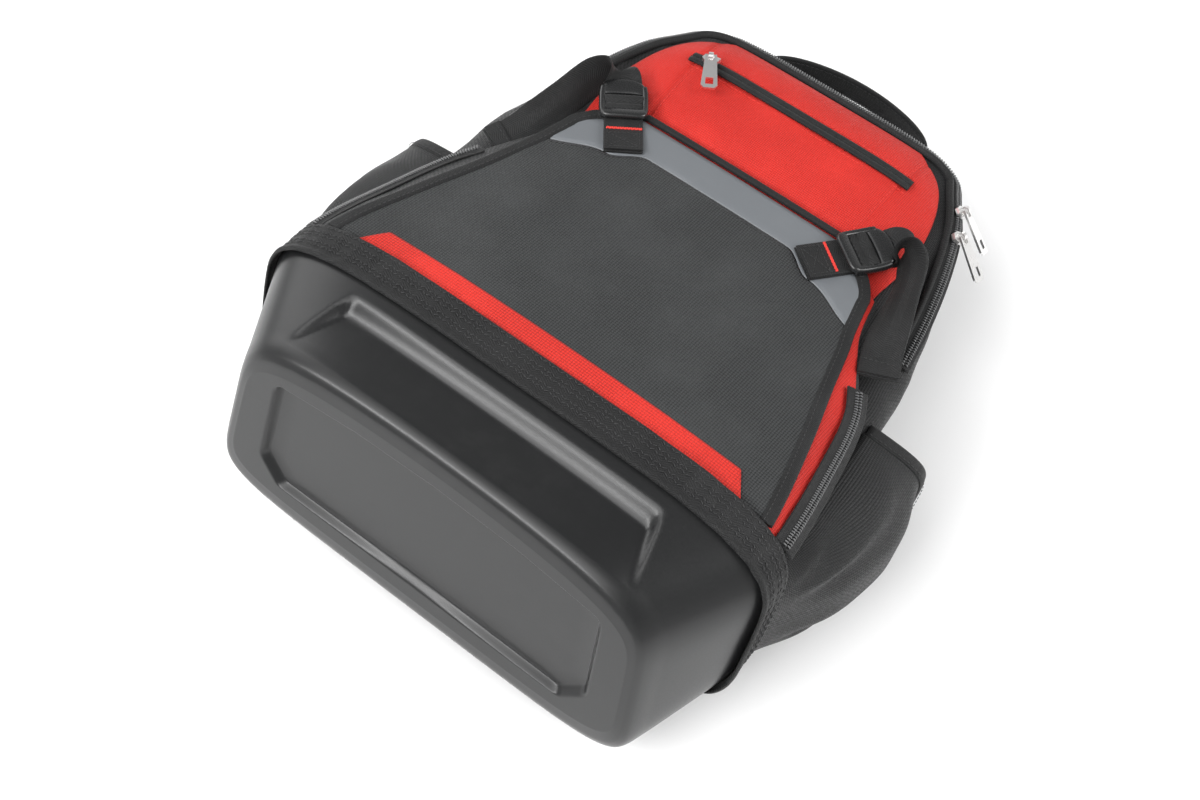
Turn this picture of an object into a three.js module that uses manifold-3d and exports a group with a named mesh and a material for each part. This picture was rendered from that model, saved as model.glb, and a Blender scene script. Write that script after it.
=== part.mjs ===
import * as THREE from 'three';
import { mergeVertices } from 'three/addons/utils/BufferGeometryUtils.js';
import Module from 'manifold-3d';

// A tool backpack lying on its back. Millimetres: x runs across, y from the base to the handle,
// z up out of the front. Before the group is placed, y = 0 is the rear edge of the underside
// and z = 0 is the floor.
const wasm = await Module();
wasm.setup();

// Whole bag
const bagLength = 456;
const bagWidth = 354;
const bagDepth = 140;
const squareness = 4.5;
const clothWall = 2;
const seatGap = 0.35;
const sheetGap = 0.8;

// What lies under the rear wall
const backPadThickness = 13;
const strapPadThickness = 11;

// Moulded base
const undersideLean = 37;
const tubFrontHeight = 67;
const tubRearHeight = 68;
const tubWall = 3;
const undersideRecessDepth = 5;
const frontRecessDepth = 6;

// Webbing, binding and piping
const webbingThickness = 1.6;
const webbingWidth = 25;
const bandWidth = 24;
const bandOverlap = 6.5;
const bindingWidth = 12;
const bindingThickness = 2.2;
const pipingSize = 5;

// Front of the bag, lengths measured along y from the mouth of the base
const frontLength = 228;
const topPocketLength = 92;
const stripStart = 18.6;
const stripWidth = 16.5;
const trimWidth = 33;
const layerThickness = 1.4;

// Zippers
const zipperWidth = 9;
const zipperHeight = 2.6;
const sliderLength = 11;
const sliderWidth = 8;
const sliderHeight = 2.6;
const pullLength = 31;
const pullWidth = 11;
const pullThickness = 1.5;

// Side pockets
const pocketBulge = 33;
const pocketLength = 156;

// Buckles, straps and handle
const buckleWidth = 31;
const buckleLength = 28;
const buckleThickness = 3.5;
const buckleBottom = 2.6;
const buckleReach = 92;
const buckleStation = 222;
const buckleTurn = 36;
const handleSpan = 136;
const handleRise = 40;
const shoulderPadWidth = 62;

const halfMouth = bagWidth / 2;
const backZ = strapPadThickness + backPadThickness + 2 * seatGap;
const rimFront = undersideLean + tubFrontHeight;
const rimRear = tubRearHeight;

const red = { color: 0xe0443a, roughness: 0.75 };
const blackCloth = { color: 0x3e4040, roughness: 0.85 };
const blackWebbing = { color: 0x262727, roughness: 0.8 };
const greyCoated = { color: 0x7d8287, roughness: 0.5 };
const moulded = { color: 0x4a4a4a, roughness: 0.45 };
const nickel = { color: 0xd0d0d2, roughness: 0.25, metalness: 1 };

// Cross-sections of the base from its underside to its mouth: rise and wide are shares of its
// height and half width, front and rear are shares of bagDepth
const tubSections = [
  { rise: 0.0, wide: 0.79, front: 0.85, rear: 0.14 },
  { rise: 0.02, wide: 0.835, front: 0.905, rear: 0.075 },
  { rise: 0.08, wide: 0.87, front: 0.94, rear: 0.025 },
  { rise: 0.25, wide: 0.908, front: 0.96, rear: 0.0 },
  { rise: 0.6, wide: 0.957, front: 0.98, rear: 0.0 },
  { rise: 1.0, wide: 1.0, front: 1.0, rear: 0.0 },
];

// Cross-sections of the main compartment from the mouth to the top: along is a share of the
// way to the top, wide a share of the half width, front and rear shares of bagDepth
const bodySections = [
  { along: 0.0, wide: 0.972, front: 0.83, rear: 0.022 },
  { along: 0.055, wide: 0.976, front: 0.81, rear: 0.016 },
  { along: 0.15, wide: 0.985, front: 0.775, rear: 0.0 },
  { along: 0.3, wide: 0.965, front: 0.7, rear: 0.0 },
  { along: 0.44, wide: 0.945, front: 0.655, rear: 0.0 },
  { along: 0.55, wide: 0.915, front: 0.66, rear: 0.0 },
  { along: 0.65, wide: 0.876, front: 0.66, rear: 0.0 },
  { along: 0.75, wide: 0.82, front: 0.66, rear: 0.0 },
  { along: 0.84, wide: 0.75, front: 0.65, rear: 0.0 },
  { along: 0.9, wide: 0.675, front: 0.625, rear: 0.015 },
  { along: 0.945, wide: 0.615, front: 0.595, rear: 0.04 },
  { along: 0.975, wide: 0.525, front: 0.55, rear: 0.08 },
  { along: 1.0, wide: 0.41, front: 0.46, rear: 0.17 },
];

// The front compartment from the mouth (up 0) to its top edge (up 1). The panel's edge, the
// zipper line and the rear edge are shares of the half width, the heights shares of bagDepth.
const frontSections = [
  { up: 0.0, panel: 0.89, zip: 0.93, rim: 0.915, centreHeight: 0.97, panelHeight: 0.885, zipHeight: 0.84 },
  { up: 0.12, panel: 0.885, zip: 0.938, rim: 0.925, centreHeight: 0.957, panelHeight: 0.905, zipHeight: 0.85 },
  { up: 0.42, panel: 0.812, zip: 0.893, rim: 0.905, centreHeight: 0.86, panelHeight: 0.822, zipHeight: 0.757 },
  { up: 0.64, panel: 0.745, zip: 0.84, rim: 0.87, centreHeight: 0.795, panelHeight: 0.762, zipHeight: 0.695 },
  { up: 0.78, panel: 0.705, zip: 0.752, rim: 0.775, centreHeight: 0.752, panelHeight: 0.728, zipHeight: 0.7 },
  { up: 0.88, panel: 0.67, zip: 0.69, rim: 0.7, centreHeight: 0.732, panelHeight: 0.714, zipHeight: 0.695 },
  { up: 1.0, panel: 0.635, zip: 0.65, rim: 0.66, centreHeight: 0.712, panelHeight: 0.7, zipHeight: 0.69 },
];

// Outline of the red pocket from the top edge of the front compartment: up is a share of its
// length, wide a share of the half width
const topPocketOutline = [
  { up: 0.0, wide: 0.61 },
  { up: 0.3, wide: 0.625 },
  { up: 0.52, wide: 0.6 },
  { up: 0.72, wide: 0.55 },
  { up: 0.88, wide: 0.46 },
  { up: 1.0, wide: 0.31 },
];

// How far a side pocket stands off the body: low and high are section angles in degrees of its
// rear and front seams, bulge a share of pocketBulge
const pocketSections = [
  { up: 0.0, low: -36, high: 30, bulge: 0.05 },
  { up: 0.2, low: -38, high: 32, bulge: 0.42 },
  { up: 0.45, low: -40, high: 34, bulge: 0.82 },
  { up: 0.7, low: -41, high: 35, bulge: 1.0 },
  { up: 1.0, low: -40, high: 35, bulge: 0.86 },
];

// The loose tail of the right compression strap. Each station gives its centre, measured from the
// buckle's centre on the front surface, and the unit direction across the webbing.
const tailStations = [
  { x: 12, y: 13.5, z: 8.5, acrossX: 0.8, acrossY: -0.58, acrossZ: 0.12 },
  { x: 18, y: 15.5, z: 9.5, acrossX: 0.78, acrossY: -0.48, acrossZ: 0.32 },
  { x: 24, y: 15, z: 9.2, acrossX: 0.76, acrossY: -0.25, acrossZ: 0.52 },
  { x: 28.5, y: 10, z: 8, acrossX: 0.75, acrossY: 0.0, acrossZ: 0.64 },
  { x: 31, y: 2, z: 6, acrossX: 0.77, acrossY: 0.05, acrossZ: 0.6 },
  { x: 34, y: -12, z: 4, acrossX: 0.82, acrossY: 0.05, acrossZ: 0.52 },
  { x: 39, y: -30, z: 1.5, acrossX: 0.87, acrossY: 0.12, acrossZ: 0.4 },
  { x: 46, y: -49, z: -1.5, acrossX: 0.9, acrossY: 0.22, acrossZ: 0.2 },
  { x: 54, y: -68, z: -2.6, acrossX: 0.91, acrossY: 0.36, acrossZ: 0.0 },
];

const lerp = THREE.MathUtils.lerp;
const radians = THREE.MathUtils.degToRad;

// Value of a column at a place between two rows of a table, eased by a cubic through the rows
function readTable(table, key, place, column) {
  const last = table.length - 1;
  const at = THREE.MathUtils.clamp(place, table[0][key], table[last][key]);
  let i = 0;
  while (i < last - 1 && at > table[i + 1][key]) i += 1;
  const span = table[i + 1][key] - table[i][key];
  const t = (at - table[i][key]) / span;
  const slope = (j) => {
    const a = Math.max(j - 1, 0);
    const b = Math.min(j + 1, last);
    return (table[b][column] - table[a][column]) / (table[b][key] - table[a][key]);
  };
  const start = table[i][column];
  const end = table[i + 1][column];
  const t2 = t * t;
  const t3 = t2 * t;
  const bend = (t3 - 2 * t2 + t) * slope(i) + (t3 - t2) * slope(i + 1);
  return (2 * t3 - 3 * t2 + 1) * start + (3 * t2 - 2 * t3) * end + bend * span;
}

// The mouth of the base leans, and the lean dies out towards the top of the bag
function rimY(z) {
  return lerp(rimRear, rimFront, (z - backZ) / bagDepth);
}

function yAt(along, z) {
  return lerp(rimY(z), bagLength, along);
}

function alongAt(y, z) {
  return (y - rimY(z)) / (bagLength - rimY(z));
}

// A superellipse: x and z of a rounded cross-section at an angle
function roundedSection(angle, half, low, high) {
  const power = 2 / squareness;
  const c = Math.cos(angle);
  const s = Math.sin(angle);
  const x = half * Math.sign(c) * Math.abs(c) ** power;
  const z = (low + high) / 2 + ((high - low) / 2) * Math.sign(s) * Math.abs(s) ** power;
  return { x, z };
}

function bodySize(along) {
  const half = halfMouth * readTable(bodySections, 'along', along, 'wide');
  const low = backZ + bagDepth * readTable(bodySections, 'along', along, 'rear');
  const high = backZ + bagDepth * readTable(bodySections, 'along', along, 'front');
  return { half, low, high };
}

function bodyPoint(along, angle) {
  const { half, low, high } = bodySize(along);
  const { x, z } = roundedSection(angle, half, low, high);
  return new THREE.Vector3(x, yAt(along, z), z);
}

// Height of the main compartment's front surface over a point
function bodyHeight(x, y) {
  let z = backZ + bagDepth * 0.65;
  for (let pass = 0; pass < 4; pass += 1) {
    const { half, low, high } = bodySize(alongAt(y, z));
    const reach = Math.min(Math.abs(x) / half, 1) ** squareness;
    z = (low + high) / 2 + ((high - low) / 2) * (1 - reach) ** (1 / squareness);
  }
  return z;
}

// The front compartment's top edge: straight across the middle, slanting down to its corners
function frontTop(x) {
  const straight = 0.42 * halfMouth;
  const slant = Math.max(0, Math.abs(x) - straight) / (0.2 * halfMouth);
  return rimFront + frontLength - 24 * Math.min(slant, 1.3);
}

function frontSize(up) {
  const share = (column) => readTable(frontSections, 'up', up, column);
  return {
    panel: halfMouth * share('panel'),
    zip: halfMouth * share('zip'),
    rim: halfMouth * share('rim'),
    centreHeight: backZ + bagDepth * share('centreHeight'),
    panelHeight: backZ + bagDepth * share('panelHeight'),
    zipHeight: backZ + bagDepth * share('zipHeight'),
  };
}

// Outer height of the front compartment at a share of its length
function frontHeightAt(up, x) {
  const size = frontSize(up);
  const wide = Math.abs(x);
  if (wide <= size.panel) {
    return size.centreHeight - (size.centreHeight - size.panelHeight) * (wide / size.panel) ** 2;
  }
  const t = (wide - size.panel) / (size.zip - size.panel);
  return lerp(size.panelHeight, size.zipHeight, t);
}

function frontUp(x, y, z) {
  const start = rimY(z);
  return (y - start) / (frontTop(x) - start);
}

function frontHeight(x, y) {
  let z = backZ + bagDepth * 0.85;
  for (let pass = 0; pass < 4; pass += 1) {
    z = frontHeightAt(THREE.MathUtils.clamp(frontUp(x, y, z), 0, 1), x);
  }
  return z;
}

// Triangles of a grid of points; rows may close on themselves round their columns
function gridSurface(rows, closed) {
  const points = rows.flat();
  const count = rows[0].length;
  const triangles = [];
  const across = closed ? count : count - 1;
  for (let i = 0; i < rows.length - 1; i += 1) {
    for (let j = 0; j < across; j += 1) {
      const k = (j + 1) % count;
      const a = i * count + j;
      const b = i * count + k;
      const c = (i + 1) * count + k;
      const d = (i + 1) * count + j;
      triangles.push([a, b, c], [a, c, d]);
    }
  }
  return { points, triangles };
}

// Closes one end of a ring grid with a fan to a centre point
function fanEnd(surface, ringStart, count, centre, flip) {
  const hub = surface.points.length;
  surface.points.push(centre);
  for (let j = 0; j < count; j += 1) {
    const a = ringStart + j;
    const b = ringStart + ((j + 1) % count);
    surface.triangles.push(flip ? [b, a, hub] : [a, b, hub]);
  }
}

function centreOf(points) {
  const sum = new THREE.Vector3();
  points.forEach((point) => sum.add(point));
  return sum.divideScalar(points.length);
}

function geometryOf({ points, triangles }) {
  const geometry = new THREE.BufferGeometry();
  const flat = new Float32Array(points.flatMap((point) => [point.x, point.y, point.z]));
  geometry.setAttribute('position', new THREE.BufferAttribute(flat, 3));
  geometry.setIndex(triangles.flat());
  return geometry;
}

function vertexNormals({ points, triangles }) {
  const normals = points.map(() => new THREE.Vector3());
  const edgeA = new THREE.Vector3();
  const edgeB = new THREE.Vector3();
  triangles.forEach(([a, b, c]) => {
    edgeA.subVectors(points[b], points[a]);
    edgeB.subVectors(points[c], points[a]);
    edgeA.cross(edgeB);
    [a, b, c].forEach((i) => normals[i].add(edgeA));
  });
  return normals.map((normal) => normal.normalize());
}

// Gives an open surface a wall on its inner side and joins the two skins along the open edges.
// An inner point that would reach into a neighbour is moved by seat.
function thicken(surface, wall, seat = (point) => point) {
  const { points, triangles } = surface;
  const normals = vertexNormals(surface);
  const inner = points.map((point, i) => seat(point.clone().addScaledVector(normals[i], -wall)));
  const shift = points.length;
  const solid = triangles.map((triangle) => [...triangle]);
  triangles.forEach(([a, b, c]) => solid.push([c + shift, b + shift, a + shift]));
  const edges = new Set();
  triangles.forEach(([a, b, c]) => {
    [[a, b], [b, c], [c, a]].forEach(([from, to]) => edges.add(`${from} ${to}`));
  });
  edges.forEach((edge) => {
    const [from, to] = edge.split(' ').map(Number);
    if (edges.has(`${to} ${from}`)) return;
    solid.push([to, from, from + shift], [to, from + shift, to + shift]);
  });
  return geometryOf({ points: [...points, ...inner], triangles: solid });
}

function toManifold(geometry) {
  const bare = geometry.clone();
  bare.deleteAttribute('normal');
  bare.deleteAttribute('uv');
  const merged = mergeVertices(bare, 1e-4);
  return new wasm.Manifold(new wasm.Mesh({
    numProp: 3,
    vertProperties: new Float32Array(merged.attributes.position.array),
    triVerts: new Uint32Array(merged.index.array),
  }));
}

function fromManifold(solid) {
  const mesh = solid.getMesh();
  const geometry = new THREE.BufferGeometry();
  geometry.setAttribute('position', new THREE.BufferAttribute(mesh.vertProperties, 3));
  geometry.setIndex(new THREE.BufferAttribute(mesh.triVerts, 1));
  return geometry;
}

const bag = new THREE.Group();
bag.name = 'tool_backpack';

function addPiece(name, geometry, finish) {
  geometry.computeVertexNormals();
  const mesh = new THREE.Mesh(geometry, new THREE.MeshStandardMaterial(finish));
  mesh.name = name;
  bag.add(mesh);
  return mesh;
}

// The same piece on the other side of the bag
function mirrored(geometry) {
  const copy = geometry.index ? geometry.toNonIndexed() : geometry.clone();
  const position = copy.attributes.position;
  const turned = new Float32Array(position.array);
  for (let i = 0; i < position.count; i += 3) {
    for (let corner = 0; corner < 3; corner += 1) {
      const from = 3 * (i + corner);
      const to = 3 * (i + 2 - corner);
      turned[to] = -position.array[from];
      turned[to + 1] = position.array[from + 1];
      turned[to + 2] = position.array[from + 2];
    }
  }
  const other = new THREE.BufferGeometry();
  other.setAttribute('position', new THREE.BufferAttribute(turned, 3));
  return mergeVertices(other, 1e-4);
}

function addPair(name, geometry, finish) {
  addPiece(`${name}_right`, geometry, finish);
  addPiece(`${name}_left`, mirrored(geometry), finish);
}

// A flat band of webbing along a path: at each station the centre of its lower face, the unit
// direction across it and the unit direction out of its upper face
function ribbon(stations, width, thickness) {
  const rows = stations.map(({ centre, across, up }) => {
    const half = across.clone().multiplyScalar(width / 2);
    const rise = up.clone().multiplyScalar(thickness);
    return [
      centre.clone().sub(half),
      centre.clone().add(half),
      centre.clone().add(half).add(rise),
      centre.clone().sub(half).add(rise),
    ];
  });
  const surface = gridSurface(rows, true);
  const lastRing = (rows.length - 1) * 4;
  surface.triangles.push([0, 2, 1], [0, 3, 2]);
  surface.triangles.push([lastRing, lastRing + 1, lastRing + 2], [lastRing, lastRing + 2, lastRing + 3]);
  return orientOut(surface);
}

// Turns every face over if the closed surface encloses a negative volume
function orientOut(surface) {
  let volume = 0;
  const crossed = new THREE.Vector3();
  surface.triangles.forEach(([a, b, c]) => {
    crossed.crossVectors(surface.points[b], surface.points[c]);
    volume += surface.points[a].dot(crossed);
  });
  if (volume < 0) surface.triangles.forEach((triangle) => triangle.reverse());
  return geometryOf(surface);
}

// A section of corners (side, up) carried along stations, closed at both ends
function sweptSection(stations, corners) {
  const rows = stations.map(({ centre, across, up }) => corners.map(([side, rise]) => (
    centre.clone().addScaledVector(across, side).addScaledVector(up, rise)
  )));
  const surface = gridSurface(rows, true);
  const count = corners.length;
  fanEnd(surface, 0, count, centreOf(rows[0]), true);
  fanEnd(surface, (rows.length - 1) * count, count, centreOf(rows[rows.length - 1]), false);
  return orientOut(surface);
}

// Stations along a line of points whose upward direction is given for each point
function stationsAlong(points, ups) {
  return points.map((point, i) => {
    const before = points[Math.max(i - 1, 0)];
    const after = points[Math.min(i + 1, points.length - 1)];
    const run = after.clone().sub(before).normalize();
    const across = run.clone().cross(ups[i]).normalize();
    const up = across.clone().cross(run).normalize();
    return { centre: point, across, up };
  });
}

function steps(count) {
  return Array.from({ length: count + 1 }, (_, i) => i / count);
}

// Moulded base

const tubRingPoints = 44;
const ringCount = 48;

function tubRing(section, inset) {
  const half = halfMouth * section.wide - inset;
  const low = backZ + bagDepth * section.rear + inset;
  const high = backZ + bagDepth * section.front - inset;
  return Array.from({ length: tubRingPoints }, (_, i) => {
    const { x, z } = roundedSection((2 * Math.PI * i) / tubRingPoints, half, low, high);
    const start = undersideLean * ((z - backZ) / bagDepth);
    const rise = section.rise * (rimY(z) - start);
    return new THREE.Vector3(x, start + rise + inset * (1 - section.rise), z);
  });
}

function tubBody(inset, extend) {
  const rows = tubSections.map((section) => tubRing(section, inset));
  if (extend > 0) rows.push(rows[rows.length - 1].map((point) => point.clone().setY(point.y + extend)));
  const surface = gridSurface(rows, true);
  fanEnd(surface, 0, tubRingPoints, centreOf(rows[0]), true);
  fanEnd(surface, (rows.length - 1) * tubRingPoints, tubRingPoints, centreOf(rows[rows.length - 1]), false);
  return toManifold(orientOut(surface));
}

// A prism over an outline of the underside, square to its lean; grow makes room for the wall
function undersideRecess(grow) {
  const top = 0.645 * halfMouth + grow;
  const middle = 0.69 * halfMouth + grow;
  const bottom = 0.6 * halfMouth + grow;
  const high = 0.77 * bagDepth + grow;
  const low = 0.165 * bagDepth - grow;
  const chamfer = 0.25 * bagDepth;
  const arch = 0.05 * bagDepth;
  const outline = new THREE.Shape();
  outline.moveTo(-bottom, low);
  outline.lineTo(bottom, low);
  outline.lineTo(middle, chamfer);
  outline.lineTo(top, high);
  outline.quadraticCurveTo(0, high + 2 * arch, -top, high);
  outline.lineTo(-middle, chamfer);
  outline.closePath();
  const depth = 2 * undersideLean;
  const prism = new THREE.ExtrudeGeometry(outline, { depth, bevelEnabled: false, curveSegments: 6 });
  prism.rotateX(Math.PI / 2);
  prism.translate(0, undersideRecessDepth + grow, 0);
  prism.rotateX(-Math.atan2(undersideLean, bagDepth));
  prism.translate(0, 0, backZ);
  return toManifold(prism);
}

// A long wedge in the front wall: deep at its upper step and running out above the ridge
function frontRecess(grow) {
  const half = 0.625 * halfMouth + grow;
  const upper = rimFront - bandOverlap - 12.5 + grow;
  const lower = undersideLean + 17;
  const deepAt = backZ + 0.985 * bagDepth - frontRecessDepth - grow;
  const shallowAt = backZ + 0.945 * bagDepth - grow;
  const profile = new THREE.Shape();
  profile.moveTo(upper, deepAt);
  profile.lineTo(upper, backZ + 1.2 * bagDepth);
  profile.lineTo(lower, backZ + 1.2 * bagDepth);
  profile.lineTo(lower, shallowAt);
  profile.closePath();
  const prism = new THREE.ExtrudeGeometry(profile, { depth: 2 * half, bevelEnabled: false });
  prism.applyMatrix4(new THREE.Matrix4().makeBasis(
    new THREE.Vector3(0, 1, 0),
    new THREE.Vector3(0, 0, 1),
    new THREE.Vector3(1, 0, 0),
  ));
  prism.translate(-half, 0, 0);
  return toManifold(prism);
}

function makeTub() {
  const outer = tubBody(0, 0).subtract(undersideRecess(0)).subtract(frontRecess(0));
  const inner = tubBody(tubWall, 5).subtract(undersideRecess(tubWall)).subtract(frontRecess(tubWall));
  return fromManifold(outer.subtract(inner));
}

// Webbing sewn round the mouth of the base, over its rim and the cloth above it
function makeBand() {
  const outset = seatGap + webbingThickness;
  const rows = [-bandOverlap, 0, bandWidth - bandOverlap].map((step) => (
    Array.from({ length: ringCount }, (_, i) => {
      const angle = (-2 * Math.PI * i) / ringCount;
      const low = backZ - outset;
      const high = backZ + bagDepth + outset;
      const { x, z } = roundedSection(angle, halfMouth + outset, low, high);
      return new THREE.Vector3(x, rimY(z) + step, z);
    })
  ));
  return thicken(gridSurface(rows, true), webbingThickness);
}

// Cloth main compartment, open into the base

const mouthGap = 0.6;

function makeMainShell() {
  const count = ringCount;
  const places = bodySections.map((section) => section.along);
  const rows = places.map((along) => (
    Array.from({ length: count }, (_, i) => {
      const point = bodyPoint(along, (-2 * Math.PI * i) / count);
      if (along === 0) point.y += mouthGap;
      return point;
    })
  ));
  const surface = gridSurface(rows, true);
  const last = rows.length - 1;
  fanEnd(surface, last * count, count, centreOf(rows[last]), false);
  return thicken(surface, clothWall);
}

// Keeps a point of the front pieces clear of the main compartment below it
function aboveBody(point) {
  point.z = Math.max(point.z, bodyHeight(point.x, point.y) + sheetGap);
  return point;
}

// Upward direction of a surface given as a height over x and y
function surfaceUp(height, x, y) {
  const step = 3;
  const slopeX = (height(x + step, y) - height(x - step, y)) / (2 * step);
  const slopeY = (height(x, y + step) - height(x, y - step)) / (2 * step);
  return new THREE.Vector3(-slopeX, -slopeY, 1).normalize();
}

// Cloth front compartment: a shallow pouch, open at its back and into the base
function makeFrontCompartment() {
  const panelShares = [-1, -0.85, -0.65, -0.4, -0.15, 0.15, 0.4, 0.65, 0.85, 1];
  const ups = [0, 0.06, 0.14, 0.26, 0.38, 0.5, 0.62, 0.72, 0.82, 0.91, 1];
  const rows = ups.map((up) => {
    const size = frontSize(up);
    const xs = [-size.rim, -size.zip, ...panelShares.map((share) => share * size.panel), size.zip, size.rim];
    return xs.map((x, i) => {
      const atRim = i === 0 || i === xs.length - 1;
      let z = atRim ? size.zipHeight - 20 : frontHeightAt(up, x);
      let y = lerp(rimY(z) + mouthGap, frontTop(x), up);
      if (atRim) {
        z = bodyHeight(x, y) + sheetGap;
        y = lerp(rimY(z) + mouthGap, frontTop(x), up);
      }
      return new THREE.Vector3(x, y, z);
    });
  });
  const edge = rows[rows.length - 1].map((point) => {
    const y = point.y + 1;
    return new THREE.Vector3(point.x, y, bodyHeight(point.x, y) + sheetGap);
  });
  rows.push(edge);
  return thicken(gridSurface(rows, false), clothWall, aboveBody);
}

// Flat pieces on the front: a grid between a lower and an upper line, laid on a height

function frontPiece({ lower, upper, half, height, lift, thickness, across, along, seat }) {
  const rows = steps(along).map((v) => (
    steps(across).map((share) => {
      const u = 2 * share - 1;
      let x = u * half(lower(0), v);
      let y = lower(x);
      for (let pass = 0; pass < 4; pass += 1) {
        y = lerp(lower(x), upper(x), v);
        x = u * half(y, v);
      }
      return new THREE.Vector3(x, y, height(x, y) + lift + thickness);
    })
  ));
  return thicken(gridSurface(rows, false), thickness, seat);
}

// The edge of the front panel's plane at a share of the front compartment's length
function panelEdge(up) {
  const size = frontSize(up);
  const y = lerp(rimY(size.panelHeight), frontTop(size.panel), up);
  return new THREE.Vector3(size.panel, y, size.panelHeight);
}

function panelHalf(y) {
  let low = 0;
  let high = 1;
  for (let pass = 0; pass < 16; pass += 1) {
    const up = (low + high) / 2;
    if (panelEdge(up).y < y) low = up;
    else high = up;
  }
  return panelEdge(low).x - bindingWidth - 1.2;
}

function bandEdge() {
  return rimFront + bandWidth - bandOverlap + seatGap;
}

// The grey trim's lower edge: highest in the middle, stepping down beside the buckle tabs
function trimLow(x) {
  const step = THREE.MathUtils.smoothstep(Math.abs(x), 0.3 * halfMouth, 0.43 * halfMouth);
  return rimFront + frontLength - trimWidth - 13 * step;
}

const panelLift = sheetGap;
const stackedLift = 2 * sheetGap + layerThickness;

function makeFrontPanel() {
  return frontPiece({
    lower: () => bandEdge(),
    upper: (x) => trimLow(x) - seatGap,
    half: panelHalf,
    height: frontHeight,
    lift: panelLift,
    thickness: layerThickness,
    across: 16,
    along: 9,
  });
}

function makeRedStrip() {
  const start = rimFront + stripStart;
  return frontPiece({
    lower: () => start,
    upper: () => start + stripWidth,
    half: (y) => halfMouth * (0.763 - 0.06 * ((y - start) / stripWidth)),
    height: frontHeight,
    lift: stackedLift,
    thickness: layerThickness * 0.7,
    across: 12,
    along: 2,
  });
}

function makeGreyTrim() {
  return frontPiece({
    lower: (x) => trimLow(x) + seatGap,
    upper: (x) => frontTop(x) - pipingSize - 1.8,
    half: panelHalf,
    height: frontHeight,
    lift: panelLift,
    thickness: layerThickness,
    across: 16,
    along: 3,
  });
}

function stationsOn(height, list, lift) {
  const ups = list.map(({ x, y }) => surfaceUp(height, x, y));
  const points = list.map(({ x, y }, i) => new THREE.Vector3(x, y, height(x, y)).addScaledVector(ups[i], lift));
  return stationsAlong(points, ups);
}

function makeTopPiping() {
  const reach = 0.63 * halfMouth;
  const list = steps(18).map((share) => {
    const x = reach * (1 - 2 * share);
    return { x, y: frontTop(x) - pipingSize / 2 - 0.6 };
  });
  const half = pipingSize / 2;
  const corners = [[-half, 0], [half, 0], [half * 0.8, 2.2], [0, 3], [-half * 0.8, 2.2]];
  return sweptSection(stationsOn(frontHeight, list, sheetGap), corners);
}

// Bound side edge of the front panel, right side
function makePanelBinding() {
  const list = steps(11).map((share) => {
    const edge = panelEdge(lerp(0.1, 0.945, share));
    return { x: edge.x - bindingWidth / 2 - seatGap, y: edge.y };
  });
  const stations = stationsOn(frontHeight, list, sheetGap);
  const half = bindingWidth / 2;
  const top = bindingThickness;
  return sweptSection(stations, [[-half, 0], [half, 0], [half, top * 0.6], [half * 0.7, top], [-half, top]]);
}

// Red pocket above the front compartment

const pocketPuff = 6;

function topPocketHalf(y) {
  const start = rimFront + frontLength - 24;
  const up = (y - start) / (topPocketLength + 24);
  return halfMouth * readTable(topPocketOutline, 'up', THREE.MathUtils.clamp(up, 0, 1), 'wide');
}

function topPocketPuff(x, y) {
  const start = frontTop(x) + 2;
  const end = rimFront + frontLength + topPocketLength;
  const v = THREE.MathUtils.clamp((y - start) / (end - start), 0, 1);
  const u = Math.min(Math.abs(x) / topPocketHalf(y), 1);
  return pocketPuff * (1 - u ** 5) * (1 - Math.abs(2 * v - 1) ** 5);
}

function topPocketHeight(x, y) {
  return bodyHeight(x, y) + topPocketPuff(x, y);
}

function makeTopPocket() {
  return frontPiece({
    lower: (x) => frontTop(x) + 3,
    upper: () => rimFront + frontLength + topPocketLength,
    half: topPocketHalf,
    height: topPocketHeight,
    lift: sheetGap,
    thickness: clothWall,
    across: 16,
    along: 9,
    seat: aboveBody,
  });
}

// Zippers

const coilCorners = [
  [-zipperWidth / 2, 0],
  [zipperWidth / 2, 0],
  [zipperWidth / 2, 0.45 * zipperHeight],
  [0.22 * zipperWidth, zipperHeight],
  [-0.22 * zipperWidth, zipperHeight],
  [-zipperWidth / 2, 0.45 * zipperHeight],
];

const pocketZipperY = rimFront + frontLength + 0.68 * topPocketLength;
const pocketTopLift = 2 * sheetGap + clothWall;

function makePocketZipper() {
  const reach = 0.48 * halfMouth;
  const list = steps(12).map((share) => ({ x: reach * (2 * share - 1), y: pocketZipperY }));
  return sweptSection(stationsOn(topPocketHeight, list, pocketTopLift), coilCorners);
}

// Zipper of the front compartment, along the fold between its front and its side
function makeFrontZipper() {
  const points = steps(10).map((share) => {
    const up = lerp(0.098, 0.72, share);
    const size = frontSize(up);
    const y = lerp(rimY(size.zipHeight), frontTop(size.zip), up);
    return new THREE.Vector3(size.zip + 0.8, y, size.zipHeight + 0.6);
  });
  const stations = stationsAlong(points, points.map(() => new THREE.Vector3(0.75, 0, 0.66)));
  return sweptSection(stations, coilCorners);
}

// Place and outward direction on the main compartment's skin
function bodyFrame(along, angle) {
  const turn = 0.02;
  const point = bodyPoint(along, angle);
  const round = bodyPoint(along, angle + turn).sub(bodyPoint(along, angle - turn));
  const up = bodyPoint(Math.min(along + turn, 1), angle).sub(bodyPoint(along - turn, angle));
  const normal = up.cross(round).normalize();
  return { point, normal };
}

const zipperAngle = 34;
const zipperLift = 0.95;
const zipperTopAlong = 0.962;

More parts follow.
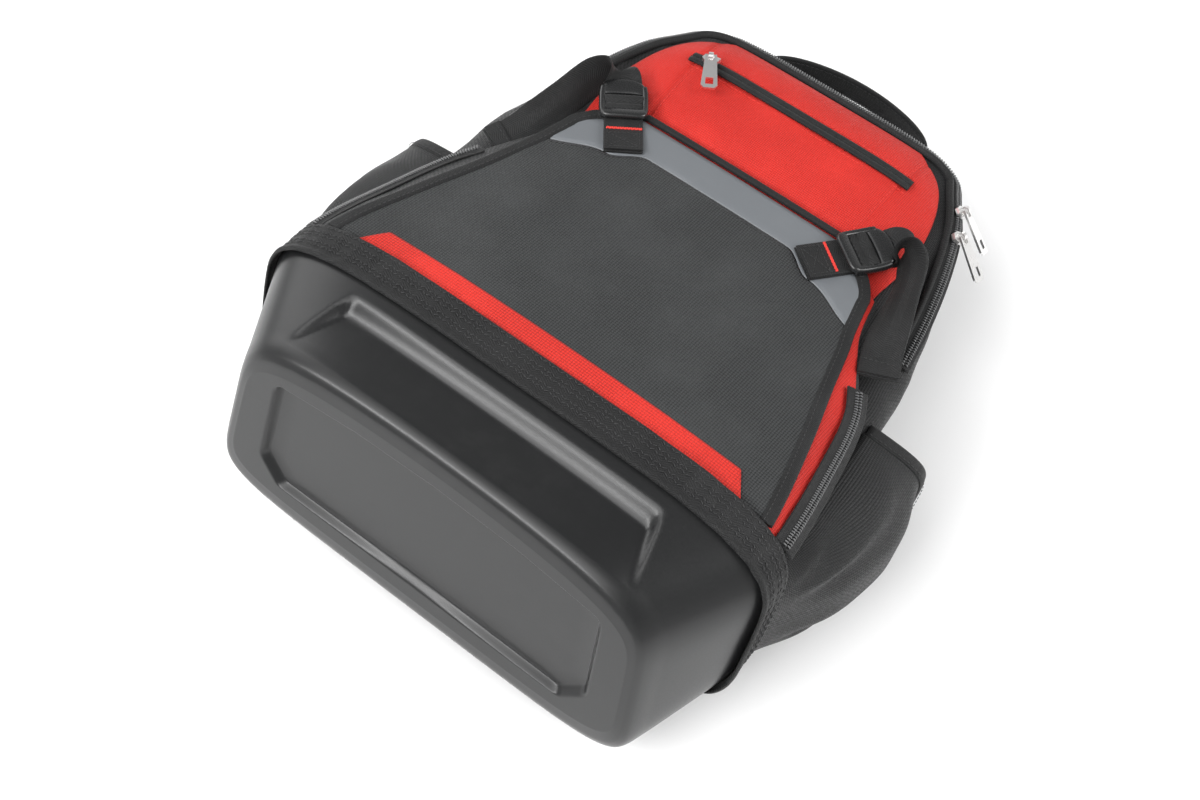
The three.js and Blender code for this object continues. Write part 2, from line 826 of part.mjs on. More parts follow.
// The main zipper climbs both sides on the front edge and crosses the top
function mainZipperRoute() {
  const side = steps(9).map((share) => ({ along: lerp(0.53, 0.935, share), angle: zipperAngle }));
  side.push({ along: 0.95, angle: zipperAngle + 4 }, { along: 0.959, angle: zipperAngle + 11 });
  const over = steps(12).map((share) => ({
    along: zipperTopAlong,
    angle: lerp(zipperAngle + 19, 161 - zipperAngle, share),
  }));
  const back = [...side].reverse().map(({ along, angle }) => ({ along, angle: 180 - angle }));
  return [...side, ...over, ...back];
}

function makeMainZipper() {
  const frames = mainZipperRoute().map(({ along, angle }) => bodyFrame(along, radians(angle)));
  const points = frames.map(({ point, normal }) => point.clone().addScaledVector(normal, zipperLift));
  return sweptSection(stationsAlong(points, frames.map(({ normal }) => normal)), coilCorners);
}

// Sliders and their pull tabs. A frame has the pin's middle as its origin, its y axis along the
// hanging tab, its z axis out of the cloth and its x axis along the pin.

const archInside = 1.6;
const archWall = 0.9;
const archWidth = 3.2;
const pinLift = 1.9;
const pocketPullTilt = 6;
const mainPullTilt = 9;

function frameAt(origin, out, along) {
  const z = out.clone().normalize();
  const x = along.clone().cross(z).normalize();
  const y = z.clone().cross(x).normalize();
  return new THREE.Matrix4().makeBasis(x, y, z).setPosition(origin);
}

function sliderSolid(runAcross) {
  const half = sliderWidth / 2;
  const nose = sliderLength / 2;
  const outline = new THREE.Shape();
  outline.moveTo(-half, -nose * 0.4);
  outline.lineTo(-half * 0.5, -nose);
  outline.lineTo(half * 0.5, -nose);
  outline.lineTo(half, -nose * 0.4);
  outline.lineTo(half, nose);
  outline.lineTo(-half, nose);
  outline.closePath();
  const plate = new THREE.ExtrudeGeometry(outline, { depth: sliderHeight, bevelEnabled: false });
  plate.rotateZ(radians(runAcross));
  plate.translate(0, 0, -pinLift - sliderHeight);
  const outer = archInside + archWall;
  const arch = new THREE.Shape();
  arch.moveTo(outer, -pinLift - 0.5);
  arch.absarc(0, 0, outer, 0, Math.PI, false);
  arch.lineTo(-outer, -pinLift - 0.5);
  arch.lineTo(-archInside, -pinLift - 0.5);
  arch.absarc(0, 0, archInside, Math.PI, 0, true);
  arch.lineTo(archInside, -pinLift - 0.5);
  arch.closePath();
  const bridge = new THREE.ExtrudeGeometry(arch, { depth: archWidth, bevelEnabled: false, curveSegments: 6 });
  bridge.translate(0, 0, -archWidth / 2);
  bridge.applyMatrix4(new THREE.Matrix4().makeBasis(
    new THREE.Vector3(0, 1, 0),
    new THREE.Vector3(0, 0, 1),
    new THREE.Vector3(1, 0, 0),
  ));
  return fromManifold(toManifold(plate).add(toManifold(bridge)));
}

function pullSolid(tilt) {
  const bar = pullThickness / 2;
  const neck = archWidth / 2 + 2.2;
  const tip = pullWidth / 2;
  const outline = new THREE.Shape();
  outline.moveTo(-neck, -bar);
  outline.lineTo(neck, -bar);
  outline.lineTo(tip, pullLength - 2.5);
  outline.lineTo(tip - 2, pullLength);
  outline.lineTo(2 - tip, pullLength);
  outline.lineTo(-tip, pullLength - 2.5);
  outline.closePath();
  const eye = new THREE.Path();
  const eyeHalf = archWidth / 2 + 0.7;
  eye.moveTo(-eyeHalf, bar);
  eye.lineTo(-eyeHalf, bar + 4.6);
  eye.lineTo(eyeHalf, bar + 4.6);
  eye.lineTo(eyeHalf, bar);
  eye.closePath();
  const windowHole = new THREE.Path();
  windowHole.moveTo(-2.6, pullLength - 9.5);
  windowHole.lineTo(-2.6, pullLength - 3.4);
  windowHole.lineTo(2.6, pullLength - 3.4);
  windowHole.lineTo(2.6, pullLength - 9.5);
  windowHole.closePath();
  outline.holes.push(eye, windowHole);
  const plate = new THREE.ExtrudeGeometry(outline, { depth: pullThickness, bevelEnabled: false });
  plate.translate(0, 0, -pullThickness / 2);
  plate.rotateX(radians(-tilt));
  return plate;
}

function addSliderAndPull(sliderName, pullName, frame, runAcross, tilt) {
  addPiece(sliderName, sliderSolid(runAcross).applyMatrix4(frame), nickel);
  addPiece(pullName, pullSolid(tilt).applyMatrix4(frame), nickel);
}

function addPocketPull() {
  const x = -0.4 * halfMouth;
  const out = surfaceUp(topPocketHeight, x, pocketZipperY);
  const lift = pocketTopLift + zipperHeight + sliderHeight + pinLift + seatGap;
  const place = new THREE.Vector3(x, pocketZipperY, topPocketHeight(x, pocketZipperY)).addScaledVector(out, lift);
  const frame = frameAt(place, out, new THREE.Vector3(0.525, -0.85, 0));
  const runAcross = 90 - THREE.MathUtils.radToDeg(Math.atan2(0.525, 0.85));
  addSliderAndPull('pocket_slider', 'pocket_pull', frame, runAcross, pocketPullTilt);
}

function addMainPull(letter, along) {
  const { point, normal } = bodyFrame(along, radians(zipperAngle));
  const lift = zipperLift + zipperHeight + sliderHeight + pinLift + seatGap;
  const hanging = new THREE.Vector3(0.53, -0.35, -0.77);
  const frame = frameAt(point.clone().addScaledVector(normal, lift), normal, hanging);
  addSliderAndPull(`main_slider_${letter}`, `main_pull_${letter}`, frame, 60, mainPullTilt);
}

// Side pocket, right side: a sheet that stands off the body, open towards the top of the bag

const pocketStart = 22;
const pocketRimWidth = 8;

function pocketFrontShare(share) {
  return lerp(1, 0.8, share);
}

function sidePocketPoint(up, share, extra) {
  const row = (column) => readTable(pocketSections, 'up', up, column);
  const angle = radians(lerp(row('low'), row('high'), share));
  const probe = bodyPoint(0.2, angle);
  const reach = (pocketLength * pocketFrontShare(share) - pocketRimWidth) * up + extra;
  const y = rimY(probe.z) + pocketStart + reach;
  const { half, low, high } = bodySize(alongAt(y, probe.z));
  const { x, z } = roundedSection(angle, half, low, high);
  const swell = Math.sin(Math.PI * THREE.MathUtils.clamp(share, 0, 1)) ** 0.6;
  const out = pocketBulge * row('bulge') * swell + clothWall + sheetGap;
  return new THREE.Vector3(x + out, y, z - 0.12 * out);
}

// Keeps a point of the right pocket outside the body
function besideBody(point) {
  const { half, low, high } = bodySize(alongAt(point.y, point.z));
  const reach = Math.min(Math.abs((2 * point.z - low - high) / (high - low)), 1) ** squareness;
  const edge = half * (1 - reach) ** (1 / squareness);
  point.x = Math.max(point.x, edge + sheetGap);
  return point;
}

function makeSidePocket() {
  const rows = steps(6).map((up) => steps(12).map((share) => sidePocketPoint(up, 1 - share, 0)));
  return thicken(gridSurface(rows, false), clothWall, besideBody);
}

// The bound mouth of the side pocket, past the edge of its cloth
function makePocketBinding() {
  const wall = clothWall + 1;
  const rows = [seatGap, pocketRimWidth].map((extra) => (
    steps(12).map((share) => {
      const point = sidePocketPoint(1, 1 - share, extra);
      point.x += 0.5;
      return point;
    })
  ));
  return thicken(gridSurface(rows, false), wall, besideBody);
}

// Buckle, its sewn tab and the compression strap, right side. The frame's y axis runs from the
// tab's tip to the buckle and on, its z axis out of the front, and its origin is under the buckle.

function buckleFrame() {
  const turn = radians(buckleTurn);
  const run = new THREE.Vector3(Math.sin(turn), Math.cos(turn), 0);
  const centre = new THREE.Vector3(buckleReach, rimFront + buckleStation, 0);
  const tip = centre.clone().addScaledVector(run, -42);
  const near = centre.clone().addScaledVector(run, -8);
  tip.z = frontHeight(tip.x, tip.y);
  near.z = frontHeight(near.x, near.y);
  const slope = near.clone().sub(tip).normalize();
  const out = slope.clone().cross(new THREE.Vector3(-run.y, run.x, 0)).normalize();
  if (out.z < 0) out.negate();
  const layers = layerThickness + sheetGap + seatGap;
  const origin = tip.clone().addScaledVector(slope, 42).addScaledVector(out, layers);
  return frameAt(origin, out, slope);
}

function buckleSolid() {
  const half = buckleWidth / 2;
  const long = buckleLength / 2;
  const slotHalf = webbingWidth / 2 + 0.8;
  const outline = new THREE.Shape();
  outline.moveTo(-half + 3, -long);
  outline.lineTo(half - 3, -long);
  outline.lineTo(half, -long + 3);
  outline.lineTo(half, long - 7);
  outline.lineTo(half - 8, long);
  outline.lineTo(-half + 8, long);
  outline.lineTo(-half, long - 7);
  outline.lineTo(-half, -long + 3);
  outline.closePath();
  const slot = (from, to) => {
    const hole = new THREE.Path();
    hole.moveTo(-slotHalf, from);
    hole.lineTo(-slotHalf, to);
    hole.lineTo(slotHalf, to);
    hole.lineTo(slotHalf, from);
    hole.closePath();
    return hole;
  };
  outline.holes.push(slot(-10.5, 0), slot(3, 6.8));
  const plate = new THREE.ExtrudeGeometry(outline, { depth: buckleThickness, bevelEnabled: false });
  plate.translate(0, 0, buckleBottom);
  return plate;
}

// Stations of webbing in the buckle's own plane: run along it, rise above the cloth
const tabRoute = [
  { run: -42, rise: 1.0 },
  { run: -15.5, rise: 1.0 },
  { run: -11.5, rise: 1.1 },
  { run: -9.2, rise: 2.4 },
  { run: -8.7, rise: 4.3 },
  { run: -9.3, rise: 6.4 },
  { run: -11.2, rise: 7.4 },
  { run: -14, rise: 7.2 },
  { run: -16.4, rise: 5.4 },
  { run: -19, rise: 3.4 },
  { run: -22.5, rise: 3.0 },
  { run: -41, rise: 3.0 },
];

const strapRoute = [
  { run: 20, rise: 1.1 },
  { run: 3, rise: 1.1 },
  { run: -1, rise: 1.2 },
  { run: -3.2, rise: 2.4 },
  { run: -4.0, rise: 4.3 },
  { run: -3.2, rise: 6.3 },
  { run: -1, rise: 7.3 },
  { run: 3, rise: 7.6 },
  { run: 12, rise: 7.8 },
];

// Webbing whose stations give the middle of its thickness
function webbing(stations, width) {
  const lowered = stations.map(({ centre, across, up }) => ({
    centre: centre.clone().addScaledVector(up, -webbingThickness / 2),
    across,
    up,
  }));
  return ribbon(lowered, width, webbingThickness);
}

function routeStations(route, frame) {
  const points = route.map(({ run, rise }) => new THREE.Vector3(0, run, rise).applyMatrix4(frame));
  const across = new THREE.Vector3().setFromMatrixColumn(frame, 0);
  return points.map((centre, i) => {
    const before = points[Math.max(i - 1, 0)];
    const after = points[Math.min(i + 1, points.length - 1)];
    const run = after.clone().sub(before).normalize();
    return { centre, across, up: across.clone().cross(run).normalize() };
  });
}

// The tail twists as it turns over, so its stations are eased through to a finer row
function tailStationsIn(frame) {
  const origin = new THREE.Vector3().setFromMatrixPosition(frame);
  const centres = tailStations.map(({ x, y, z }) => origin.clone().add(new THREE.Vector3(x, y, z)));
  const sides = tailStations.map(({ acrossX, acrossY, acrossZ }) => new THREE.Vector3(acrossX, acrossY, acrossZ));
  const centreLine = new THREE.CatmullRomCurve3(centres);
  const sideLine = new THREE.CatmullRomCurve3(sides);
  return steps(3 * (tailStations.length - 1)).map((share) => {
    const run = centreLine.getTangent(share);
    const across = sideLine.getPoint(share).normalize();
    const up = across.clone().cross(run).normalize();
    return { centre: centreLine.getPoint(share), across, up };
  });
}

function addBuckleAndStraps() {
  const frame = buckleFrame();
  addPair('buckle', buckleSolid().applyMatrix4(frame), moulded);
  addPair('strap_tab', webbing(routeStations(tabRoute, frame), webbingWidth), blackWebbing);
  const stations = [...routeStations(strapRoute, frame), ...tailStationsIn(frame)];
  addPair('compression_strap', webbing(stations, webbingWidth), blackWebbing);
}

// Grab handle: doubled webbing on edge, its ends sewn to the top wall

function topWallY(x, z) {
  let inside = 0.8;
  let outside = 1;
  for (let pass = 0; pass < 20; pass += 1) {
    const middle = (inside + outside) / 2;
    const { half, low, high } = bodySize(middle);
    const reach = Math.abs(x / half) ** squareness + Math.abs((2 * z - low - high) / (high - low)) ** squareness;
    if (reach < 1) inside = middle;
    else outside = middle;
  }
  return yAt(inside, z);
}

function makeHandle() {
  const z = backZ + 0.26 * bagDepth;
  const reach = handleSpan / 2;
  const foot = topWallY(reach, z) + seatGap;
  const stations = steps(16).map((share) => {
    const angle = Math.PI * share;
    const x = reach * Math.cos(angle);
    const y = foot + (handleRise + bagLength - foot) * Math.sin(angle) ** 0.8;
    return new THREE.Vector3(x, y, z);
  });
  const rows = stationsAlong(stations, stations.map(() => new THREE.Vector3(0, 0, 1)));
  const half = webbingThickness;
  const wide = webbingWidth / 2;
  return sweptSection(rows, [[-half, -wide], [half, -wide], [half, wide], [-half, wide]]);
}

// The back, which the bag lies on

const backStart = 96;
const backHalf = 126;
const backTop = 428;

function makeBackPanel() {
  const outline = new THREE.Shape();
  outline.moveTo(-backHalf + 12, backStart);
  outline.lineTo(backHalf - 12, backStart);
  outline.quadraticCurveTo(backHalf, backStart, backHalf, backStart + 12);
  outline.lineTo(backHalf, backTop - 120);
  outline.bezierCurveTo(backHalf, backTop - 50, 84, backTop, 50, backTop);
  outline.lineTo(-50, backTop);
  outline.bezierCurveTo(-84, backTop, -backHalf, backTop - 50, -backHalf, backTop - 120);
  outline.lineTo(-backHalf, backStart + 12);
  outline.quadraticCurveTo(-backHalf, backStart, -backHalf + 12, backStart);
  const bevel = 3;
  const panel = new THREE.ExtrudeGeometry(outline, {
    depth: backPadThickness - 2 * bevel,
    bevelThickness: bevel,
    bevelSize: bevel,
    bevelOffset: -bevel,
    bevelSegments: 1,
    curveSegments: 6,
  });
  panel.translate(0, 0, strapPadThickness + seatGap + bevel);
  return panel;
}

// Centre line of the right shoulder strap, flat under the back panel: across is a share of the
// panel's half width, up a share of the way from its lower end to its upper one
const shoulderLine = [
  { across: 0.325, up: 0.982 },
  { across: 0.413, up: 0.87 },
  { across: 0.603, up: 0.69 },
  { across: 0.714, up: 0.479 },
  { across: 0.698, up: 0.268 },
  { across: 0.619, up: 0.078 },
];

function shoulderPoint({ across, up }) {
  return new THREE.Vector3(across * backHalf, lerp(backStart, backTop, up), 0);
}

function makeShoulderStrap() {
  const curve = new THREE.CatmullRomCurve3(shoulderLine.map(shoulderPoint));
  const points = curve.getPoints(12);
  const half = shoulderPadWidth / 2;
  const stations = stationsAlong(points, points.map(() => new THREE.Vector3(0, 0, 1)));
  const top = strapPadThickness;
  const edge = 2.5;
  const corners = [
    [-half + edge, 0],
    [half - edge, 0],
    [half, edge],
    [half, top - edge],
    [half - edge, top],
    [-half + edge, top],
    [-half, top - edge],
    [-half, edge],
  ];
  return sweptSection(stations, corners);
}

function makeStrapWebbing() {
  const start = shoulderPoint(shoulderLine[shoulderLine.length - 1]);
  const top = strapPadThickness - seatGap;
  const points = [
    new THREE.Vector3(start.x + 3, start.y - 10, top - webbingThickness),
    new THREE.Vector3(start.x + 16, start.y - 28, top - webbingThickness),
    new THREE.Vector3(start.x + 38, start.y - 52, top - webbingThickness),
  ];
  const stations = stationsAlong(points, points.map(() => new THREE.Vector3(0, 0, 1)));
  return ribbon(stations, webbingWidth, webbingThickness);
}

addPiece('base_tub', makeTub(), moulded);
addPiece('base_band', makeBand(), blackWebbing);
addPiece('main_shell', makeMainShell(), blackCloth);
addPiece('front_compartment', makeFrontCompartment(), red);
addPiece('front_panel', makeFrontPanel(), blackCloth);
addPiece('red_strip', makeRedStrip(), red);
addPiece('grey_trim', makeGreyTrim(), greyCoated);
addPiece('top_piping', makeTopPiping(), blackWebbing);
addPair('panel_binding', makePanelBinding(), blackWebbing);
addPiece('top_pocket', makeTopPocket(), red);
addPiece('pocket_zipper', makePocketZipper(), blackWebbing);
addPair('front_zipper', makeFrontZipper(), blackWebbing);
addPiece('main_zipper', makeMainZipper(), blackWebbing);
addPocketPull();
addMainPull('a', 0.87);
addMainPull('b', 0.815);
addPair('side_pocket', makeSidePocket(), blackCloth);
addPair('pocket_binding', makePocketBinding(), blackWebbing);
addBuckleAndStraps();
addPiece('grab_handle', makeHandle(), blackWebbing);
addPiece('back_panel', makeBackPanel(), blackCloth);
addPair('shoulder_strap', makeShoulderStrap(), blackCloth);
addPair('strap_webbing', makeStrapWebbing(), blackWebbing);

// The origin is the middle of the bag's box, on the floor
const box = new THREE.Box3().setFromObject(bag);
bag.position.set(0, -(box.min.y + box.max.y) / 2, -box.min.z);

export default bag;
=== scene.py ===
import math

import bmesh
import bpy
import numpy as np
from mathutils import Matrix, Vector


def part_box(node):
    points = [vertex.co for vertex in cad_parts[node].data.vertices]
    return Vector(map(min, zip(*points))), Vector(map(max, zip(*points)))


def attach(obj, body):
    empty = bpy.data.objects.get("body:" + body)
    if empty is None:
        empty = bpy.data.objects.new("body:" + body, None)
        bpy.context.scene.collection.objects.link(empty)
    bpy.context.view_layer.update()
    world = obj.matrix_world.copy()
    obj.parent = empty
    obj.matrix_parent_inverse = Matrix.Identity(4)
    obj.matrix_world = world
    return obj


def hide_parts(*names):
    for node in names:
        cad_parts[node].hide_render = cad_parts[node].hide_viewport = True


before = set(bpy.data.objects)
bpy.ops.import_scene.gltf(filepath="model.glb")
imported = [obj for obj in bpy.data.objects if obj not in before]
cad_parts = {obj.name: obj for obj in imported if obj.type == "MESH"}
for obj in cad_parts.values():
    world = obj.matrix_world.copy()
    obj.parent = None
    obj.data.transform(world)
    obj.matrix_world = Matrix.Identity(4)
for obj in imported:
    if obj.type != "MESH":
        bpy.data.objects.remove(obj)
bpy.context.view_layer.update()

# Lengths below are millimetres, counted as in the part's source: y from the rear edge of the
# underside. The frame gives the bag's main sizes and how far that y is shifted.
mm = 0.001
tubLow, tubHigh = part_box("base_tub")
halfMouth = tubHigh.x / mm
backZ = tubLow.z / mm
bagDepth = (tubHigh.z - tubLow.z) / mm
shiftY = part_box("back_panel")[0].y / mm - 96
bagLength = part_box("main_shell")[1].y / mm - shiftY

build = {"squareness": 4.5, "lean": 37, "rimFront": 104, "rimRear": 68, "frontLength": 228,
         "pocketLength": 92}
layers = {"gap": 0.8, "cloth": 2.0, "sheet": 1.4, "webbing": 1.6, "webbingWidth": 25}

bodySections = {
    "at": [0, 0.055, 0.15, 0.3, 0.44, 0.55, 0.65, 0.75, 0.84, 0.9, 0.945, 0.975, 1],
    "wide": [0.972, 0.976, 0.985, 0.965, 0.945, 0.915, 0.876, 0.82, 0.75, 0.675, 0.615, 0.525, 0.41],
    "front": [0.83, 0.81, 0.775, 0.7, 0.655, 0.66, 0.66, 0.66, 0.65, 0.625, 0.595, 0.55, 0.46],
    "rear": [0.022, 0.016, 0, 0, 0, 0, 0, 0, 0, 0.015, 0.04, 0.08, 0.17],
}
frontSections = {
    "at": [0, 0.12, 0.42, 0.64, 0.78, 0.88, 1],
    "panel": [0.89, 0.885, 0.812, 0.745, 0.705, 0.67, 0.635],
    "zip": [0.93, 0.938, 0.893, 0.84, 0.752, 0.69, 0.65],
    "rim": [0.915, 0.925, 0.905, 0.87, 0.775, 0.7, 0.66],
    "centreHeight": [0.97, 0.957, 0.86, 0.795, 0.752, 0.732, 0.712],
    "panelHeight": [0.885, 0.905, 0.822, 0.762, 0.728, 0.714, 0.7],
    "zipHeight": [0.84, 0.85, 0.757, 0.695, 0.7, 0.695, 0.69],
}
topPocketOutline = {"at": [0, 0.3, 0.52, 0.72, 0.88, 1], "wide": [0.635, 0.657, 0.64, 0.6, 0.535, 0.42]}


# A cubic through the rows of a table, with the slope at each row taken from its neighbours
def easedThrough(keys, values, at):
    keys = np.asarray(keys, float)
    values = np.asarray(values, float)
    at = np.clip(at, keys[0], keys[-1])
    before = np.maximum(np.arange(len(keys)) - 1, 0)
    after = np.minimum(np.arange(len(keys)) + 1, len(keys) - 1)
    slopes = ((values[after] - values[before]).T / (keys[after] - keys[before])).T
    i = np.clip(np.searchsorted(keys, at, side="left") - 1, 0, len(keys) - 2)
    span = keys[i + 1] - keys[i]
    t = (at - keys[i]) / span
    if values.ndim > 1:
        t = t[..., None]
        span = span[..., None]
    bend = (t**3 - 2 * t**2 + t) * slopes[i] + (t**3 - t**2) * slopes[i + 1]
    return (2 * t**3 - 3 * t**2 + 1) * values[i] + (3 * t**2 - 2 * t**3) * values[i + 1] + bend * span


def readTable(table, place, column):
    return easedThrough(table["at"], table[column], place)


def mix(a, b, t):
    return a + (b - a) * t


# Keeps the sign of a value while its size is raised to a power
def signedPower(value, power):
    return np.sign(value) * np.abs(value) ** power


# Length of a line from its first point to each of its points
def lengthAlong(points):
    return np.concatenate([[0], np.cumsum(np.linalg.norm(np.diff(points, axis=0), axis=1))])


# Each column of values, read at places along a line
def columnsAt(places, run, values):
    return np.stack([np.interp(places, run, values[:, k]) for k in range(values.shape[1])], -1)


# Rises from 0 to 1 between two values, level at both ends
def ease(value, start, end):
    t = np.clip((value - start) / (end - start), 0, 1)
    return t * t * (3 - 2 * t)


# Smooth unevenness: sines in a few fixed directions, from about -1 to 1
def unevenness(a, b, size, seed):
    rng = np.random.default_rng(seed)
    total = 0
    for turn, phase, stretch in rng.uniform(0, 1, (7, 3)):
        angle = 2 * math.pi * turn
        wave = (a * math.cos(angle) + b * math.sin(angle)) * (0.6 + 0.9 * stretch) * 2 * math.pi / size
        total = total + np.sin(wave + 2 * math.pi * phase)
    return total / 3.2


# The mouth of the base leans, and the lean dies out towards the top of the bag
def rimY(z):
    return mix(build["rimRear"], build["rimFront"], (z - backZ) / bagDepth)


def yAt(along, z):
    return mix(rimY(z), bagLength, along)


def alongAt(y, z):
    return (y - rimY(z)) / (bagLength - rimY(z))


# A superellipse: signed powers of the cosine and sine of an angle, scaled to a box
def roundedSection(angle, half, low, high):
    power = 2 / build["squareness"]
    x = half * signedPower(np.cos(angle), power)
    z = (low + high) / 2 + (high - low) / 2 * signedPower(np.sin(angle), power)
    return x, z


# Section angles that come out evenly spaced round the mouth, from the middle of the back
def evenAngles(count):
    turn = np.linspace(-0.5, 1.5, 7201) * math.pi
    n = build["squareness"]
    tall = bagDepth / 2
    reach = (np.abs(np.cos(turn) / halfMouth) ** n + np.abs(np.sin(turn) / tall) ** n) ** (-1 / n)
    step = np.hypot(np.diff(reach * np.cos(turn)), np.diff(reach * np.sin(turn)))
    run = np.concatenate([[0], np.cumsum(step)])
    even = np.interp(np.linspace(0, run[-1], count + 1)[:-1], run, turn)
    size = np.interp(even, turn, reach)
    s = signedPower(size * np.sin(even) / tall, n / 2)
    return np.arctan2(s, signedPower(size * np.cos(even) / halfMouth, n / 2))


def bodySize(along):
    half = halfMouth * readTable(bodySections, along, "wide")
    low = backZ + bagDepth * readTable(bodySections, along, "rear")
    high = backZ + bagDepth * readTable(bodySections, along, "front")
    return half, low, high


def bodyPoint(along, angle):
    half, low, high = bodySize(along)
    x, z = roundedSection(angle, half, low, high)
    return np.stack([x, yAt(along, z), z], -1)


# Height of the main compartment's front over a point, found by a few rounds of substitution
def bodyHeight(x, y):
    n = build["squareness"]
    z = backZ + bagDepth * 0.65 + 0 * (x + y)
    for _ in range(5):
        half, low, high = bodySize(alongAt(y, z))
        reach = np.minimum(np.abs(x) / half, 1) ** n
        z = (low + high) / 2 + (high - low) / 2 * (1 - reach) ** (1 / n)
    return z


def frontTop(x):
    slant = np.maximum(0, np.abs(x) - 0.42 * halfMouth) / (0.2 * halfMouth)
    return build["rimFront"] + build["frontLength"] - 24 * np.minimum(slant, 1.3)


def frontHeightAt(up, x):
    panel = halfMouth * readTable(frontSections, up, "panel")
    zipAt = halfMouth * readTable(frontSections, up, "zip")
    centre = backZ + bagDepth * readTable(frontSections, up, "centreHeight")
    edge = backZ + bagDepth * readTable(frontSections, up, "panelHeight")
    fold = backZ + bagDepth * readTable(frontSections, up, "zipHeight")
    wide = np.abs(x)
    crown = centre - (centre - edge) * (wide / panel) ** 2
    side = mix(edge, fold, (wide - panel) / (zipAt - panel))
    return np.where(wide <= panel, crown, side)


def frontHeight(x, y):
    z = backZ + bagDepth * 0.85 + 0 * (x + y)
    for _ in range(5):
        up = np.clip((y - rimY(z)) / (frontTop(x) - rimY(z)), 0, 1)
        z = frontHeightAt(up, x)
    return z


# Place and outward direction on a surface given as a height over x and y
def onHeight(height, x, y, lift=0):
    x = np.asarray(x, float)
    y = np.asarray(y, float)
    slopeX = (height(x + 2, y) - height(x - 2, y)) / 4
    slopeY = (height(x, y + 2) - height(x, y - 2)) / 4
    up = unit(np.stack([-slopeX, -slopeY, 1 + 0 * slopeX], -1))
    return np.stack([x, y, height(x, y)], -1) + up * lift, up


def unit(vectors):
    return vectors / np.maximum(np.linalg.norm(vectors, axis=-1, keepdims=True), 1e-9)


# A smooth line through chosen points, cut into equal steps
def smoothLine(points, count):
    points = np.array(points, float)
    knots = lengthAlong(points)
    dense = easedThrough(knots, points, np.linspace(0, knots[-1], 40 * len(points)))
    run = lengthAlong(dense)
    return columnsAt(np.linspace(0, run[-1], count + 1), run, dense)


# Stations along a line: across is square to the run and to the upward direction given
def stationsAlong(points, ups, loop=False):
    if loop:
        run = unit(np.roll(points, -1, 0) - np.roll(points, 1, 0))
    else:
        run = unit(np.gradient(points, axis=0))
    across = unit(np.cross(run, ups))
    return points, across, unit(np.cross(across, run)), run


def toFrame(points):
    placed = np.array(points, float)
    placed[..., 1] += shiftY
    return placed * mm


def addObject(name, data):
    made = bpy.data.objects.new(name, data)
    bpy.context.scene.collection.objects.link(made)
    return made


# Mesh from points and faces in millimetres, with the weave's own map in millimetres
def makeObject(name, points, faces, weave=None, sharp=None):
    mesh = bpy.data.meshes.new(name)
    mesh.from_pydata(toFrame(points).tolist(), [], [list(face) for face in faces])
    if weave is not None:
        layer = mesh.uv_layers.new(name="weave")
        layer.data.foreach_set("uv", np.asarray(weave, np.float32).ravel())
    mesh.polygons.foreach_set("use_smooth", np.ones(len(mesh.polygons), bool))
    if sharp:
        mesh.set_sharp_from_angle(angle=math.radians(sharp))
    mesh.update()
    return addObject(name, mesh)


# Quads of a grid of points; ring joins the last column to the first, loop the last row to the
# first, and ends closes both ends of a ring with a fan. The map holds lengths along the rows
# and columns.
def gridObject(name, points, ring=False, loop=False, ends=False, weave=None, flip=False, sharp=None):
    rows, columns = points.shape[:2]
    across = columns if ring else columns - 1
    along = rows if loop else rows - 1
    i, j = np.meshgrid(np.arange(along), np.arange(across), indexing="ij")
    nextRow = (i + 1) % rows
    nextColumn = (j + 1) % columns
    corners = [i * columns + j, i * columns + nextColumn,
               nextRow * columns + nextColumn, nextRow * columns + j]
    quads = np.stack(corners, -1).reshape(-1, 4)
    if weave is None:
        wide = np.linalg.norm(np.roll(points, -1, 1) - points, axis=-1).mean(0)
        tall = np.linalg.norm(np.roll(points, -1, 0) - points, axis=-1).mean(1)
        u = np.concatenate([[0], np.cumsum(wide)])
        v = np.concatenate([[0], np.cumsum(tall)])
        u, v = np.meshgrid(u, v)
    else:
        u, v = weave
    pair = [(i, j), (i, j + 1), (i + 1, j + 1), (i + 1, j)]
    quadWeave = np.stack([np.stack([u[a, b], v[a, b]], -1) for a, b in pair], -2).reshape(-1, 4, 2)
    if flip:
        quads = quads[:, ::-1]
        quadWeave = quadWeave[:, ::-1]
    faces = quads.tolist()
    mapped = quadWeave.reshape(-1, 2)
    flat = points.reshape(-1, 3)
    if ends:
        hubs = np.stack([points[0].mean(0), points[-1].mean(0)])
        first = len(flat)
        flat = np.concatenate([flat, hubs])
        k = np.arange(columns)
        low = np.stack([(k + 1) % columns, k, np.full(columns, first)], -1)
        start = (rows - 1) * columns
        high = np.stack([start + k, start + (k + 1) % columns, np.full(columns, first + 1)], -1)
        fans = np.concatenate([low, high])
        if flip:
            fans = fans[:, ::-1]
        faces += fans.tolist()
        mapped = np.concatenate([mapped, np.zeros((len(fans) * 3, 2))])
    return makeObject(name, flat, faces, mapped, sharp)


# A closed section carried along stations
def sweptObject(name, stations, section, loop=False, sharp=None, flip=False):
    centre, across, up, _ = stations
    section = np.asarray(section, float)
    if section.ndim == 2:
        section = np.broadcast_to(section, (len(centre),) + section.shape)
    points = centre[:, None] + across[:, None] * section[:, :, :1] + up[:, None] * section[:, :, 1:]
    return gridObject(name, points, ring=True, loop=loop, ends=not loop, sharp=sharp, flip=flip)


# A rounded box section: a superellipse of a width and height, standing on its lower side
def roundSection(width, height, count=16, power=4, base=0):
    angle = np.linspace(0, 2 * math.pi, count + 1)[:-1] + math.pi / count
    x = width / 2 * signedPower(np.cos(angle), 2 / power)
    z = height / 2 * (1 + signedPower(np.sin(angle), 2 / power)) + base
    return np.stack([x, z], -1)


